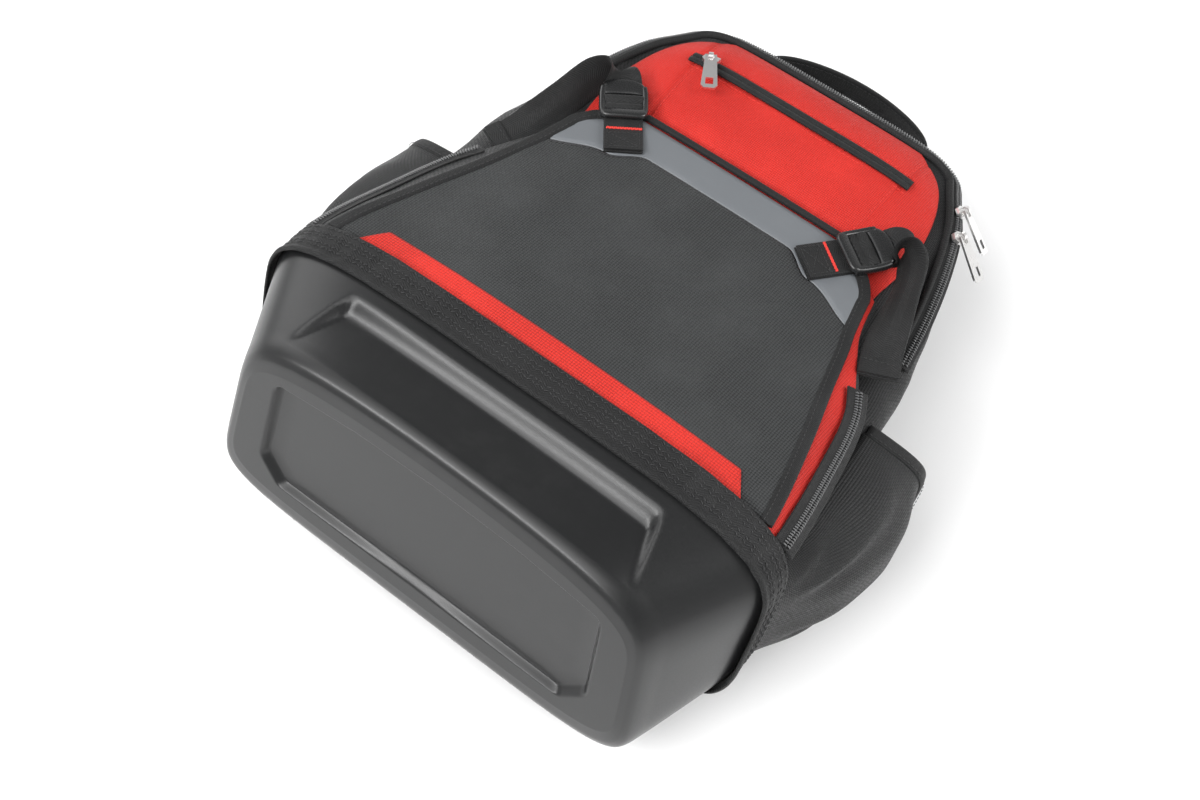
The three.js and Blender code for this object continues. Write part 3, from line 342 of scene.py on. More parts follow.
# Many copies of a small shape, each with its own place and axes
def scatterObject(name, shape, faces, places, runs, sides, ups):
    points = (places[:, None] + runs[:, None] * shape[None, :, :1] + sides[:, None] * shape[None, :, 1:2]
              + ups[:, None] * shape[None, :, 2:])
    many = faces[None] + (np.arange(len(places)) * len(shape))[:, None, None]
    return makeObject(name, points.reshape(-1, 3), many.reshape(-1, faces.shape[1]).tolist())


def joined(name, objects):
    whole = bmesh.new()
    for one in objects:
        whole.from_mesh(one.data)
    mesh = bpy.data.meshes.new(name)
    whole.to_mesh(mesh)
    whole.free()
    for one in objects:
        bpy.data.objects.remove(one)
    return addObject(name, mesh)


def mirrorObject(source, name):
    mesh = source.data.copy()
    mesh.transform(Matrix.Scale(-1, 4, Vector((1, 0, 0))))
    mesh.flip_normals()
    return addObject(name, mesh)


# Closes one end of a ring of columns with a single face
def closeEnd(made, corners):
    whole = bmesh.new()
    whole.from_mesh(made.data)
    whole.verts.ensure_lookup_table()
    whole.faces.new([whole.verts[i] for i in corners]).smooth = True
    bmesh.ops.recalc_face_normals(whole, faces=whole.faces)
    whole.to_mesh(made.data)
    whole.free()


def addWall(piece, thickness):
    wall = piece.modifiers.new("wall", "SOLIDIFY")
    wall.thickness = thickness * mm
    wall.offset = -1


def dress(piece, finish, slotName, *nodes):
    piece.data.materials.clear()
    piece.data.materials.append(finish)
    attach(piece, "bag")
    if nodes:
        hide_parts(*nodes)
    return piece


def dressPair(piece, base, finish, slotName, node=None):
    piece.name = base + "Right"
    other = mirrorObject(piece, base + "Left")
    for modifier in piece.modifiers:
        copied = other.modifiers.new(modifier.name, modifier.type)
        copied.thickness = modifier.thickness
        copied.offset = modifier.offset
    dress(piece, finish, slotName, *([node + "_right"] if node else []))
    dress(other, finish, slotName, *([node + "_left"] if node else []))


# Finishes: every one is built from nodes that read the object's place or the weave's own map

def startFinish(name):
    material = bpy.data.materials.new(name)
    material.use_nodes = True
    tree = material.node_tree
    return material, tree, tree.nodes["Principled BSDF"]


def setInputs(node, levels):
    for socket, level in levels.items():
        node.inputs[socket].default_value = level


def worked(tree, operation, *values):
    node = tree.nodes.new("ShaderNodeMath")
    node.operation = operation
    for socket, value in zip(node.inputs, values):
        if isinstance(value, (int, float)):
            socket.default_value = value
        else:
            tree.links.new(value, socket)
    return node.outputs[0]


def objectPlace(tree):
    return tree.nodes.new("ShaderNodeTexCoord").outputs["Object"]


def noiseFrom(tree, place, scale, detail=3.0, roughness=0.55):
    node = tree.nodes.new("ShaderNodeTexNoise")
    setInputs(node, {"Scale": scale, "Detail": detail, "Roughness": roughness})
    tree.links.new(place, node.inputs["Vector"])
    return node.outputs["Fac"]


def ranged(tree, value, fromLow, fromHigh, toLow, toHigh):
    node = tree.nodes.new("ShaderNodeMapRange")
    for socket, number in zip(node.inputs[1:5], (fromLow, fromHigh, toLow, toHigh)):
        socket.default_value = number
    tree.links.new(value, node.inputs[0])
    return node.outputs[0]


def blended(tree, amount, first, second):
    node = tree.nodes.new("ShaderNodeMix")
    node.data_type = "RGBA"
    tree.links.new(amount, node.inputs["Factor"])
    for socket, color in ((node.inputs[6], first), (node.inputs[7], second)):
        if isinstance(color, tuple):
            socket.default_value = (*color, 1)
        else:
            tree.links.new(color, socket)
    return node.outputs[2]


def bumped(tree, shader, height, strength, distance):
    node = tree.nodes.new("ShaderNodeBump")
    setInputs(node, {"Strength": strength, "Distance": distance})
    tree.links.new(height, node.inputs["Height"])
    tree.links.new(node.outputs["Normal"], shader.inputs["Normal"])


def weavePlace(tree, pitch):
    node = tree.nodes.new("ShaderNodeUVMap")
    node.uv_map = "weave"
    split = tree.nodes.new("ShaderNodeSeparateXYZ")
    tree.links.new(node.outputs["UV"], split.inputs[0])
    u = worked(tree, "DIVIDE", split.outputs["X"], pitch)
    v = worked(tree, "DIVIDE", split.outputs["Y"], pitch)
    return u, v


def halfSine(tree, share):
    return worked(tree, "SINE", worked(tree, "MULTIPLY", share, math.pi))


# Plain weave: yarns are half sines, and a yarn lies on top in every other square
def weaveHeight(tree, u, v):
    hillU = halfSine(tree, worked(tree, "FRACT", u))
    hillV = halfSine(tree, worked(tree, "FRACT", v))
    warp = worked(tree, "MULTIPLY", hillU, worked(tree, "MULTIPLY_ADD", hillV, 0.5, 0.5))
    weft = worked(tree, "MULTIPLY", hillV, worked(tree, "MULTIPLY_ADD", hillU, 0.5, 0.5))
    squares = worked(tree, "ADD", worked(tree, "FLOOR", u), worked(tree, "FLOOR", v))
    odd = worked(tree, "FLOORED_MODULO", squares, 2.0)
    difference = worked(tree, "SUBTRACT", weft, warp)
    return worked(tree, "MULTIPLY_ADD", difference, odd, warp)


# Cloth: the low parts of the weave take the second colour, a painted shade in the gaps between the yarns
def clothFinish(name, color, gapShade, pitch=1.15, depth=0.5, sheen=0.25, rough=0.62):
    material, tree, shader = startFinish(name)
    height = weaveHeight(tree, *weavePlace(tree, pitch))
    place = objectPlace(tree)
    broad = noiseFrom(tree, place, 16.0)
    fine = noiseFrom(tree, place, 420.0, 2.0)
    # painted shade: the colour darkens where the weave is low, between the yarns
    body = blended(tree, ranged(tree, height, 0.05, 0.8, 0.0, 1.0), gapShade, color)
    dusty = tuple(min(1.0, c * 1.25 + 0.004) for c in color)
    worn = blended(tree, ranged(tree, broad, 0.42, 0.75, 0.0, 0.45), body, dusty)
    tree.links.new(worn, shader.inputs["Base Color"])
    tree.links.new(ranged(tree, fine, 0.3, 0.7, rough - 0.08, rough + 0.12), shader.inputs["Roughness"])
    setInputs(shader, {"Sheen Weight": sheen, "Sheen Roughness": 0.45, "Specular IOR Level": 0.28})
    bumped(tree, shader, worked(tree, "MULTIPLY_ADD", fine, 0.3, height), depth, 0.00035)
    return material


# Webbing: slanted ribs that turn back at every quarter of the width, and a rib along each edge
def webbingFinish(name, color, gapShade, width=25.0, pitch=1.5, depth=0.7, rough=0.6):
    material, tree, shader = startFinish(name)
    u, v = weavePlace(tree, pitch)
    zigzag = worked(tree, "PINGPONG", u, width / pitch / 4)
    rib = worked(tree, "FRACT", worked(tree, "MULTIPLY_ADD", zigzag, 0.55, v))
    hill = halfSine(tree, rib)
    yarn = worked(tree, "ABSOLUTE", worked(tree, "SINE", worked(tree, "MULTIPLY", u, math.pi * 1.5)))
    height = worked(tree, "MULTIPLY_ADD", yarn, 0.35, hill)
    place = objectPlace(tree)
    broad = noiseFrom(tree, place, 25.0)
    fine = noiseFrom(tree, place, 600.0, 2.0)
    # painted shade: the colour darkens in the grooves between the ribs
    body = blended(tree, ranged(tree, height, 0.1, 1.2, 0.0, 1.0), gapShade, color)
    dusty = tuple(c * 1.5 + 0.006 for c in color)
    worn = blended(tree, ranged(tree, broad, 0.45, 0.8, 0.0, 0.5), body, dusty)
    tree.links.new(worn, shader.inputs["Base Color"])
    tree.links.new(ranged(tree, fine, 0.3, 0.7, rough - 0.1, rough + 0.12), shader.inputs["Roughness"])
    setInputs(shader, {"Sheen Weight": 0.05, "Specular IOR Level": 0.28})
    bumped(tree, shader, worked(tree, "MULTIPLY_ADD", fine, 0.25, height), depth, 0.0003)
    return material


# Smooth hard finish with a fine grain and faint rubbed patches
def smoothFinish(name, color, rubbed, rough, grain, depth, metallic=0.0, coat=0.0, spec=0.5):
    material, tree, shader = startFinish(name)
    place = objectPlace(tree)
    fine = noiseFrom(tree, place, grain, 2.0, 0.6)
    broad = noiseFrom(tree, place, 9.0, 4.0, 0.6)
    scratch = noiseFrom(tree, place, 70.0, 6.0, 0.75)
    patch = worked(tree, "MULTIPLY", ranged(tree, broad, 0.4, 0.75, 0.0, 1.0),
                   ranged(tree, scratch, 0.45, 0.7, 0.0, 1.0))
    tree.links.new(blended(tree, patch, color, rubbed), shader.inputs["Base Color"])
    grainy = ranged(tree, fine, 0.3, 0.7, rough - 0.09, rough - 0.01)
    level = worked(tree, "MULTIPLY_ADD", broad, 0.12, grainy)
    tree.links.new(level, shader.inputs["Roughness"])
    setInputs(shader, {"Metallic": metallic, "Coat Weight": coat, "Coat Roughness": 0.3,
                       "Specular IOR Level": spec})
    bumped(tree, shader, fine, depth, 0.0002)
    return material


# In the cloth and webbing finishes the second colour is painted shade for the gaps between yarns and ribs
finishes = {
    "tub": smoothFinish("mouldedBase", (0.009, 0.0093, 0.0097), (0.014, 0.014, 0.0145), 0.32, 900.0, 0.1,
                        coat=0.18, spec=0.38),
    "buckle": smoothFinish("buckleNylon", (0.012, 0.0124, 0.0128), (0.02, 0.02, 0.02), 0.27, 1400.0, 0.08,
                           coat=0.3),
    "nickel": smoothFinish("nickelPlate", (0.86, 0.85, 0.84), (0.74, 0.73, 0.72), 0.3, 1600.0, 0.02,
                           metallic=1.0),
    "coated": smoothFinish("coatedCloth", (0.13, 0.139, 0.149), (0.155, 0.164, 0.174), 0.42, 1100.0, 0.22),
    # The coil is black nylon: its lighter grey colour is a painted sheen for the glints on its turns
    "coil": smoothFinish("zipperCoil", (0.09, 0.091, 0.093), (0.12, 0.12, 0.12), 0.3, 1500.0, 0.1, coat=0.5),
    "thread": smoothFinish("blackThread", (0.022, 0.022, 0.023), (0.04, 0.04, 0.04), 0.5, 1800.0, 0.3),
    "redThread": smoothFinish("redThread", (0.62, 0.03, 0.02), (0.7, 0.06, 0.04), 0.6, 1800.0, 0.3),
    "red": clothFinish("redCloth", (0.56, 0.022, 0.014), (0.33, 0.009, 0.006), 1.4, 0.7, 0.04),
    "redRib": clothFinish("redWoven", (0.6, 0.026, 0.016), (0.32, 0.009, 0.006), 1.8, 1.0, 0.04),
    "black": clothFinish("blackCloth", (0.04, 0.042, 0.043), (0.003, 0.0032, 0.0034), 1.75, 1.0, 0.06),
    "sideBlack": clothFinish("blackSideCloth", (0.014, 0.0143, 0.0148), (0.003, 0.0031, 0.0033), 1.5, 0.8,
                             0.05, 0.48),
    "webbing": webbingFinish("blackWebbing", (0.011, 0.0112, 0.0115), (0.003, 0.0031, 0.0032)),
    "binding": webbingFinish("bindingTape", (0.01, 0.0102, 0.0105), (0.003, 0.0031, 0.0032), 12.0, 1.3, 0.6),
}
print("finishes made")


# Stitches: small tapered threads laid along a line, slightly sunk, the ends dipping under

stitching = {"length": 2.5, "gap": 1.0, "radius": 0.3}


def stitchShape(length, radius):
    turn = np.linspace(0, 2 * math.pi, 6)[:-1]
    rings = [[-0.5, -0.6, 0.35], [-0.25, 0.0, 0.9], [0.25, 0.0, 0.9], [0.5, -0.6, 0.35]]
    points = [np.stack([np.full(5, at * length), size * radius * np.cos(turn),
                        radius * (dip + size * np.sin(turn))], -1) for at, dip, size in rings]
    i, j = np.meshgrid(np.arange(3), np.arange(5), indexing="ij")
    k = (j + 1) % 5
    quads = np.stack([i * 5 + j, (i + 1) * 5 + j, (i + 1) * 5 + k, i * 5 + k], -1).reshape(-1, 4)
    return np.concatenate(points), quads


def stitchRow(name, line, ups, length=None, gap=None, radius=None, slant=0.0):
    length = length or stitching["length"]
    pitch = length + (gap or stitching["gap"])
    run = lengthAlong(line)
    middles = np.arange(pitch / 2, run[-1] - pitch / 3, pitch)
    places = columnsAt(middles, run, line)
    up = unit(columnsAt(middles, run, ups))
    along = unit(columnsAt(middles, run, np.gradient(line, run, axis=0)))
    side = unit(np.cross(up, along))
    turn = slant * np.where(np.arange(len(middles)) % 2, 1.0, -1.0)[:, None]
    along = unit(along + side * turn)
    side = unit(np.cross(up, along))
    shape, faces = stitchShape(length, radius or stitching["radius"])
    return scatterObject(name, shape, faces, places, along, side, np.cross(along, side))


def stitchOn(name, height, xs, ys, lift, **options):
    line, ups = onHeight(height, xs, ys, lift)
    return stitchRow(name, line, ups, **options)


# The camera stands where the photographer stood: over the bag's right lower corner, turned a
# little about its own line of sight

camera = {"x": 275.9, "y": -265.7, "z": 901.4, "azimuth": 31.2, "elevation": 58.5, "roll": 7.0,
          "lens": 47.7}


def makeCamera():
    turn = math.radians(camera["azimuth"])
    rise = math.radians(camera["elevation"])
    roll = math.radians(camera["roll"])
    back = Vector((math.sin(turn) * math.cos(rise), -math.cos(turn) * math.cos(rise), math.sin(rise)))
    right = (-back).cross(Vector((0, 0, 1))).normalized()
    up = right.cross(-back)
    across = math.cos(roll) * right + math.sin(roll) * up
    tall = -math.sin(roll) * right + math.cos(roll) * up
    data = bpy.data.cameras.new("photoCamera")
    data.lens = camera["lens"]
    data.sensor_width = 36
    data.clip_start = 0.01
    data.clip_end = 50
    holder = addObject("photoCamera", data)
    holder.matrix_world = Matrix((
        (across.x, tall.x, back.x, camera["x"] * mm),
        (across.y, tall.y, back.y, (camera["y"] + shiftY) * mm),
        (across.z, tall.z, back.z, camera["z"] * mm),
        (0, 0, 0, 1),
    ))
    bpy.context.scene.camera = holder


studio = {"key": 22.0, "strip": 21.0, "rim": 30.0, "fill": 9.0, "horizon": 0.8, "zenith": 0.26,
          "floor": 0.92, "floorReach": 14.0}


def addLight(name, place, aim, size, power):
    data = bpy.data.lights.new(name, "AREA")
    data.shape = "RECTANGLE"
    data.size = size[0]
    data.size_y = size[1]
    data.energy = power
    holder = addObject(name, data)
    holder.location = place
    holder.rotation_mode = "QUATERNION"
    holder.rotation_quaternion = (Vector(aim) - Vector(place)).to_track_quat("-Z", "Y")


def makeStudio():
    addLight("frontSoftbox", (-0.35, -0.82, 1.72), (0, 0, 0.05), (1.7, 1.1), studio["key"])
    addLight("ridgeStrip", (-0.5, -1.25, 1.25), (0, -0.2, 0.1), (1.5, 0.3), studio["strip"])
    addLight("leftSoftbox", (-1.6, 0.2, 1.0), (0, 0, 0.05), (1.0, 1.2), studio["fill"])
    addLight("rightSoftbox", (1.5, 0.7, 1.25), (0.1, 0, 0.05), (1.0, 1.4), studio["rim"])
    world = bpy.data.worlds.new("paleStudio")
    world.use_nodes = True
    sky = world.node_tree
    background = sky.nodes["Background"]
    background.inputs["Color"].default_value = (1, 1, 1, 1)
    split = sky.nodes.new("ShaderNodeSeparateXYZ")
    sky.links.new(sky.nodes.new("ShaderNodeTexCoord").outputs["Generated"], split.inputs[0])
    level = ranged(sky, split.outputs["Z"], 0.1, 0.75, studio["horizon"], studio["zenith"])
    sky.links.new(level, background.inputs["Strength"])
    bpy.context.scene.world = world
    bpy.context.scene.view_settings.view_transform = "Standard"
    mesh = bpy.data.meshes.new("floor")
    reach = studio["floorReach"]
    corners = [(-reach, -reach, 0), (reach, -reach, 0), (reach, reach, 0), (-reach, reach, 0)]
    mesh.from_pydata(corners, [], [(0, 1, 2, 3)])
    floor = addObject("floor", mesh)
    material, _, shader = startFinish("paleFloor")
    pale = studio["floor"]
    setInputs(shader, {"Base Color": (pale, pale, pale, 1), "Roughness": 0.7})
    mesh.materials.append(material)


makeCamera()
makeStudio()
print("camera and studio made")


# Moulded base: sections from the underside to the mouth, with a sunk field in its underside and
# a wedge in its front wall

tub = {
    "columns": 350, "wall": 3.0, "edgeRows": 18, "slopeRows": 10, "floorRows": 8, "wallRows": 92,
    "fieldDepth": 5.0, "fieldSlope": 5.0, "fieldCorner": 9.0, "fieldTop": 0.785, "fieldLow": 0.215,
    "fieldSide": 0.33, "fieldMiddle": 0.47,
    "wedgeDepth": 8.0, "wedgeTop": 85.0, "wedgeLow": 45.0, "wedgeHalf": 107.0, "wedgeSpread": 13.0,
    "crown": 0.085, "squareness": 6.5, "splay": 0.12,
}
tubSections = {
    "at": [0, 0.02, 0.08, 0.25, 0.6, 1],
    "wide": [0.802, 0.828, 0.85, 0.878, 0.936, 1],
    "front": [0.835, 0.883, 0.91, 0.93, 0.962, 1],
    "rear": [0.14, 0.075, 0.025, 0, 0, 0],
}


# A section of the base: its corners are squarer and its front fuller towards the underside
def tubSection(rises, angles):
    wide, rear, front = [readTable(tubSections, rises, key) for key in ("wide", "rear", "front")]
    power = 2 / mix(tub["squareness"], build["squareness"], rises**0.7)
    x = halfMouth * wide * signedPower(np.cos(angles), power)
    middle = bagDepth * (rear + front) / 2
    z = middle + bagDepth * (front - rear) / 2 * signedPower(np.sin(angles), power)
    fuller = tub["crown"] * bagDepth * (1 - (x / halfMouth / wide) ** 2) * (1 - rises) ** 1.2
    x = x * (1 + tub["splay"] * (0.35 - z / bagDepth) * (1 - rises))
    return x, z + fuller * ease(z, middle, middle + 0.45 * bagDepth)


# A polygon whose corners are arcs, as its distance from a middle point in each direction
def roundedOutline(corners, radius, middle, directions):
    corners = np.array(corners, float)
    rim = []
    for i in range(len(corners)):
        here = corners[i]
        inward = unit(corners[i - 1] - here)
        onward = unit(corners[(i + 1) % len(corners)] - here)
        half = math.acos(float(np.clip(np.dot(inward, onward), -1, 1))) / 2
        cut = radius / math.tan(half)
        t = np.linspace(0, 1, 12)[:, None]
        rim.append(here + inward * cut * (1 - t) ** 2 + onward * cut * t**2)
    rim = np.concatenate(rim)
    steps = np.linspace(0, 1, 60, endpoint=False)
    dense = np.concatenate([mix(rim, np.roll(rim, -1, 0), t) for t in steps]) - middle
    angle = np.arctan2(dense[:, 1], dense[:, 0])
    order = np.argsort(angle)
    reach = np.hypot(dense[order, 0], dense[order, 1])
    return np.interp(directions, angle[order], reach, period=2 * math.pi)


def makeTub():
    angles = evenAngles(tub["columns"])
    x, z = tubSection(np.zeros(len(angles)), angles)
    middle = np.array([0, tub["fieldMiddle"] * bagDepth])
    ring = np.stack([x, z], -1)
    away = ring - middle
    directions = np.arctan2(away[:, 1], away[:, 0])
    top, bottom, side = [tub[key] * bagDepth for key in ("fieldTop", "fieldLow", "fieldSide")]
    field = [
        (-0.6 * halfMouth, bottom), (0.6 * halfMouth, bottom), (0.69 * halfMouth, side),
        (0.655 * halfMouth, top), (0.32 * halfMouth, top + 7), (0, top + 9), (-0.32 * halfMouth, top + 7),
        (-0.655 * halfMouth, top), (-0.69 * halfMouth, side),
    ]
    outer = roundedOutline(field, tub["fieldCorner"], middle, directions)
    inner = outer - tub["fieldSlope"]
    reach = np.hypot(away[:, 0], away[:, 1])
    aim = np.stack([np.cos(directions), np.sin(directions)], -1)
    rows = []
    depths = []
    for t in np.linspace(0, 1, tub["floorRows"], endpoint=False) ** 0.8:
        rows.append(inner * t)
        depths.append(0 * inner + 1)
    for t in np.linspace(0, 1, tub["slopeRows"], endpoint=False):
        rows.append(mix(inner, outer, t))
        depths.append(0 * inner + 1 - ease(t, 0, 1))
    for t in np.linspace(0, 1, tub["edgeRows"], endpoint=False):
        rows.append(mix(outer, reach, t))
        depths.append(0 * inner)
    flat = middle + aim[None] * np.array(rows)[..., None]
    lean = build["lean"] / bagDepth
    y = flat[..., 1] * lean + np.array(depths) * tub["fieldDepth"]
    under = np.stack([flat[..., 0], y, flat[..., 1] + backZ], -1)[1:]
    rises = np.linspace(0, 1, tub["wallRows"])[:, None] ** 1.7
    x, z = tubSection(rises, angles[None])
    z = z + backZ
    start = (z - backZ) * lean
    y = start + rises * (rimY(z) - start)
    share = np.clip((y - tub["wedgeLow"]) / (tub["wedgeTop"] - tub["wedgeLow"]), 0, 1)
    spread = tub["wedgeHalf"] + tub["wedgeSpread"] * (1 - share)
    inside = ease(np.abs(x), spread + 3, spread - 3) * ease(y, tub["wedgeTop"] + 6, tub["wedgeTop"] - 8)
    sunk = tub["wedgeDepth"] * share * inside * ease(z, backZ + 0.7 * bagDepth, backZ + 0.85 * bagDepth)
    wall = np.stack([x, y, z - sunk], -1)
    points = np.concatenate([under, wall])
    made = gridObject("mouldedTub", points, ring=True)
    closeEnd(made, range(tub["columns"])[::-1])
    addWall(made, tub["wall"])
    dress(made, finishes["tub"], "moulded", "base_tub")


makeTub()
print("moulded base made")


# Webbing round the mouth: its lower edge rolls round the rim of the base, and rows of zigzag
# stitches run all the way round

band = {"below": 6.5, "wide": 24.0, "outset": 1.95, "columns": 420, "rows": [1.0, 3.6, 8.6, 11.2, 15.6],
        "stitch": 2.6}


def bandPoints(angles, step, lift):
    outset = band["outset"] + lift
    x, z = roundedSection(angles, halfMouth + outset, backZ - outset, backZ + bagDepth + outset)
    return np.stack([x, rimY(z) + step, z], -1)


def makeBand():
    angles = evenAngles(band["columns"])
    steps = np.linspace(-band["below"], band["wide"] - band["below"], 22)
    rows = []
    for step in steps:
        roll = ease(step, -band["below"] + 5, -band["below"] + 2.2) * 1.1
        curl = ease(step, -band["below"] + 1.4, -band["below"]) * 1.3
        puff = 0.25 * unevenness(np.cos(angles) * 200, np.sin(angles) * 120 + step, 34, 5)
        rows.append(bandPoints(angles, step, roll - curl + puff))
    made = gridObject("mouthBand", np.array(rows), ring=True, flip=True)
    addWall(made, layers["webbing"])
    dress(made, finishes["webbing"], "webbing", "base_band")
    parts = []
    closed = np.append(angles, angles[0])
    for number, step in enumerate(band["rows"]):
        line = bandPoints(closed, step, 0.3)
        outward = unit(bandPoints(closed, step, 1.3) - bandPoints(closed, step, 0.3))
        parts.append(stitchRow(f"bandRow{number}", line, outward, length=band["stitch"], gap=0.4,
                               radius=0.34, slant=0.6))
    dress(joined("mouthBandStitches", parts), finishes["thread"], "webbing")


makeBand()
print("mouth band made")


# Main compartment: the shell of body sections, its skin drawn in by shallow folds between seams
# and slumped a little to its left

shell = {"rows": 130, "columns": 300, "topRows": 14, "sag": 1.5, "fold": 1.2, "slump": 7.0}


def makeShell():
    angles = evenAngles(shell["columns"])
    along = np.linspace(0.002, 1, shell["rows"])[:, None]
    points = bodyPoint(along, angles[None] + 0 * along)
    centre = np.array([0, 0, backZ + 0.32 * bagDepth])
    inward = centre - points
    inward[..., 1] = 0
    across = np.cumsum(np.linalg.norm(np.diff(points, axis=1, append=points[:, :1]), axis=-1), 1)
    broad = unevenness(across, points[..., 1] * 1.3, 90, 11)
    fold = broad + 0.6 * unevenness(across, points[..., 1], 38, 12)
    depth = shell["sag"] + shell["fold"] * fold
    fade = np.minimum(ease(along, 0.0, 0.06), ease(along, 0.93, 0.84))
    points = points + unit(inward) * (np.maximum(depth, 0) * fade)[..., None]
    degrees = np.degrees(angles)[None]
    slump = np.exp(-(((degrees - 176) / 17) ** 2)) + np.exp(-(((degrees + 14) / 26) ** 2))
    points[..., 0] -= shell["slump"] * slump * ease(along, 0.3, 0.55) * ease(along, 0.99, 0.85)
    ring = points[-1]
    middle = ring.mean(0)
    caps = [mix(ring, middle, t) + np.array([0, 3.0 * (1 - (1 - t) ** 2), 0]) for t in
            np.linspace(0, 1, shell["topRows"] + 1)[1:-1]]
    points = np.concatenate([points, np.array(caps)])
    made = gridObject("mainShell", points, ring=True, flip=True)
    count = len(made.data.vertices)
    closeEnd(made, range(count - shell["columns"], count))
    addWall(made, layers["cloth"])
    dress(made, finishes["sideBlack"], "black_cloth", "main_shell")


makeShell()
print("main compartment made")


# Front compartment: a red pouch out to its zipper line, black sides from there to the body, and a
# black flap over its left gusset

pouch = {"rows": 90, "columns": 110, "sideRows": 10, "pucker": 0.7}


def pouchPoint(up, x):
    z = frontHeightAt(up, x)
    y = mix(rimY(z) + 0.6, frontTop(x), up)
    return x, y, z


def makePouch():
    ups = np.linspace(0, 1, pouch["rows"])[:, None]
    zipAt = halfMouth * readTable(frontSections, ups, "zip")
    shares = np.linspace(-1, 1, pouch["columns"])[None]
    x, y, z = pouchPoint(ups, zipAt * shares)
    gusset = ease(np.abs(shares), 0.93, 0.96) * ease(np.abs(shares), 1.0, 0.985)
    z = z - pouch["pucker"] * gusset * (1 + unevenness(x, y, 30, 21))
    top = np.stack([x[-1], y[-1] + 1, bodyHeight(x[-1], y[-1] + 1) + layers["gap"]], -1)
    points = np.concatenate([np.stack([x, y, z], -1), top[None]])
    u = np.concatenate([x, x[-1:]])
    v = np.concatenate([y, y[-1:] + 20])
    made = gridObject("frontPouch", points, weave=(u, v))
    addWall(made, layers["cloth"])
    dress(made, finishes["red"], "red_cloth", "front_compartment")
    rim = halfMouth * readTable(frontSections, ups, "rim")
    fold = backZ + bagDepth * readTable(frontSections, ups, "zipHeight")
    outer = np.stack(pouchPoint(ups, zipAt), -1)
    rimAt = mix(rimY(fold - 20) + 0.6, frontTop(rim), ups)
    for _ in range(3):
        height = bodyHeight(rim, rimAt) + layers["gap"]
        rimAt = mix(rimY(height) + 0.6, frontTop(rim), ups)
    inner = np.stack([rim, rimAt, height], -1)
    t = np.linspace(0, 1, pouch["sideRows"])[None, :, None]
    side = mix(outer, inner, t)
    creases = 1 + 0.8 * unevenness(side[..., 1], side[..., 2], 44, 22)
    side[..., 0] += 1.2 * np.sin(math.pi * t[..., 0]) * creases
    right = gridObject("pouchSide", side)
    addWall(right, layers["cloth"])
    dressPair(right, "pouchSide", finishes["sideBlack"], "black_cloth")
    ups = np.linspace(0.03, 0.86, 90)[:, None]
    inner = halfMouth * readTable(frontSections, ups, "panel") - 3
    outer = halfMouth * readTable(frontSections, ups, "zip") - 2
    x, y, z = pouchPoint(ups, -mix(inner, outer, np.linspace(0, 1, 12)[None]))
    flap = gridObject("leftGussetFlap", np.stack([x, y, z + 0.9 + 0.3 * unevenness(x, y, 40, 23)], -1))
    addWall(flap, 0.7)
    dress(flap, finishes["sideBlack"], "black_cloth")


makePouch()
print("front compartment made")


# Pieces laid on the front: a grid between a lower and an upper line, on a height

facing = {"columns": 130, "rows": 100, "stripLow": 122.6, "stripWide": 16.5, "trimWide": 33.0,
          "binding": 7.6, "bindingThick": 2.2, "pipingWide": 5.0, "seam": 0.35}


def layOn(name, lower, upper, half, height, lift, across, along, relief=None, seat=None):
    v = np.linspace(0, 1, along)[:, None]
    u = np.linspace(-1, 1, across)[None]
    x = u * half(lower(0 * u), v)
    y = lower(x) + 0 * v
    for _ in range(6):
        y = mix(lower(x), upper(x), v)
        x = u * half(y, v)
    z = height(x, y) + lift
    if relief is not None:
        z = z + relief(x, y, u, v)
    if seat is not None:
        z = np.maximum(z, seat(x, y))
    return gridObject(name, np.stack([x, y, z], -1), weave=(x, y))


edgeUps = np.linspace(0, 1, 600)
edgeX = halfMouth * readTable(frontSections, edgeUps, "panel")
edgeZ = backZ + bagDepth * readTable(frontSections, edgeUps, "panelHeight")
edgeY = mix(rimY(edgeZ), frontTop(edgeX), edgeUps)


def panelHalf(y):
    return np.interp(y, edgeY, edgeX) - 0.6 * facing["binding"]


def trimLow(x):
    step = 13 * ease(np.abs(x), 0.3 * halfMouth, 0.43 * halfMouth)
    tail = 13 * ease(np.abs(x), 0.44 * halfMouth, 0.66 * halfMouth)
    return build["rimFront"] + build["frontLength"] - facing["trimWide"] - step - tail


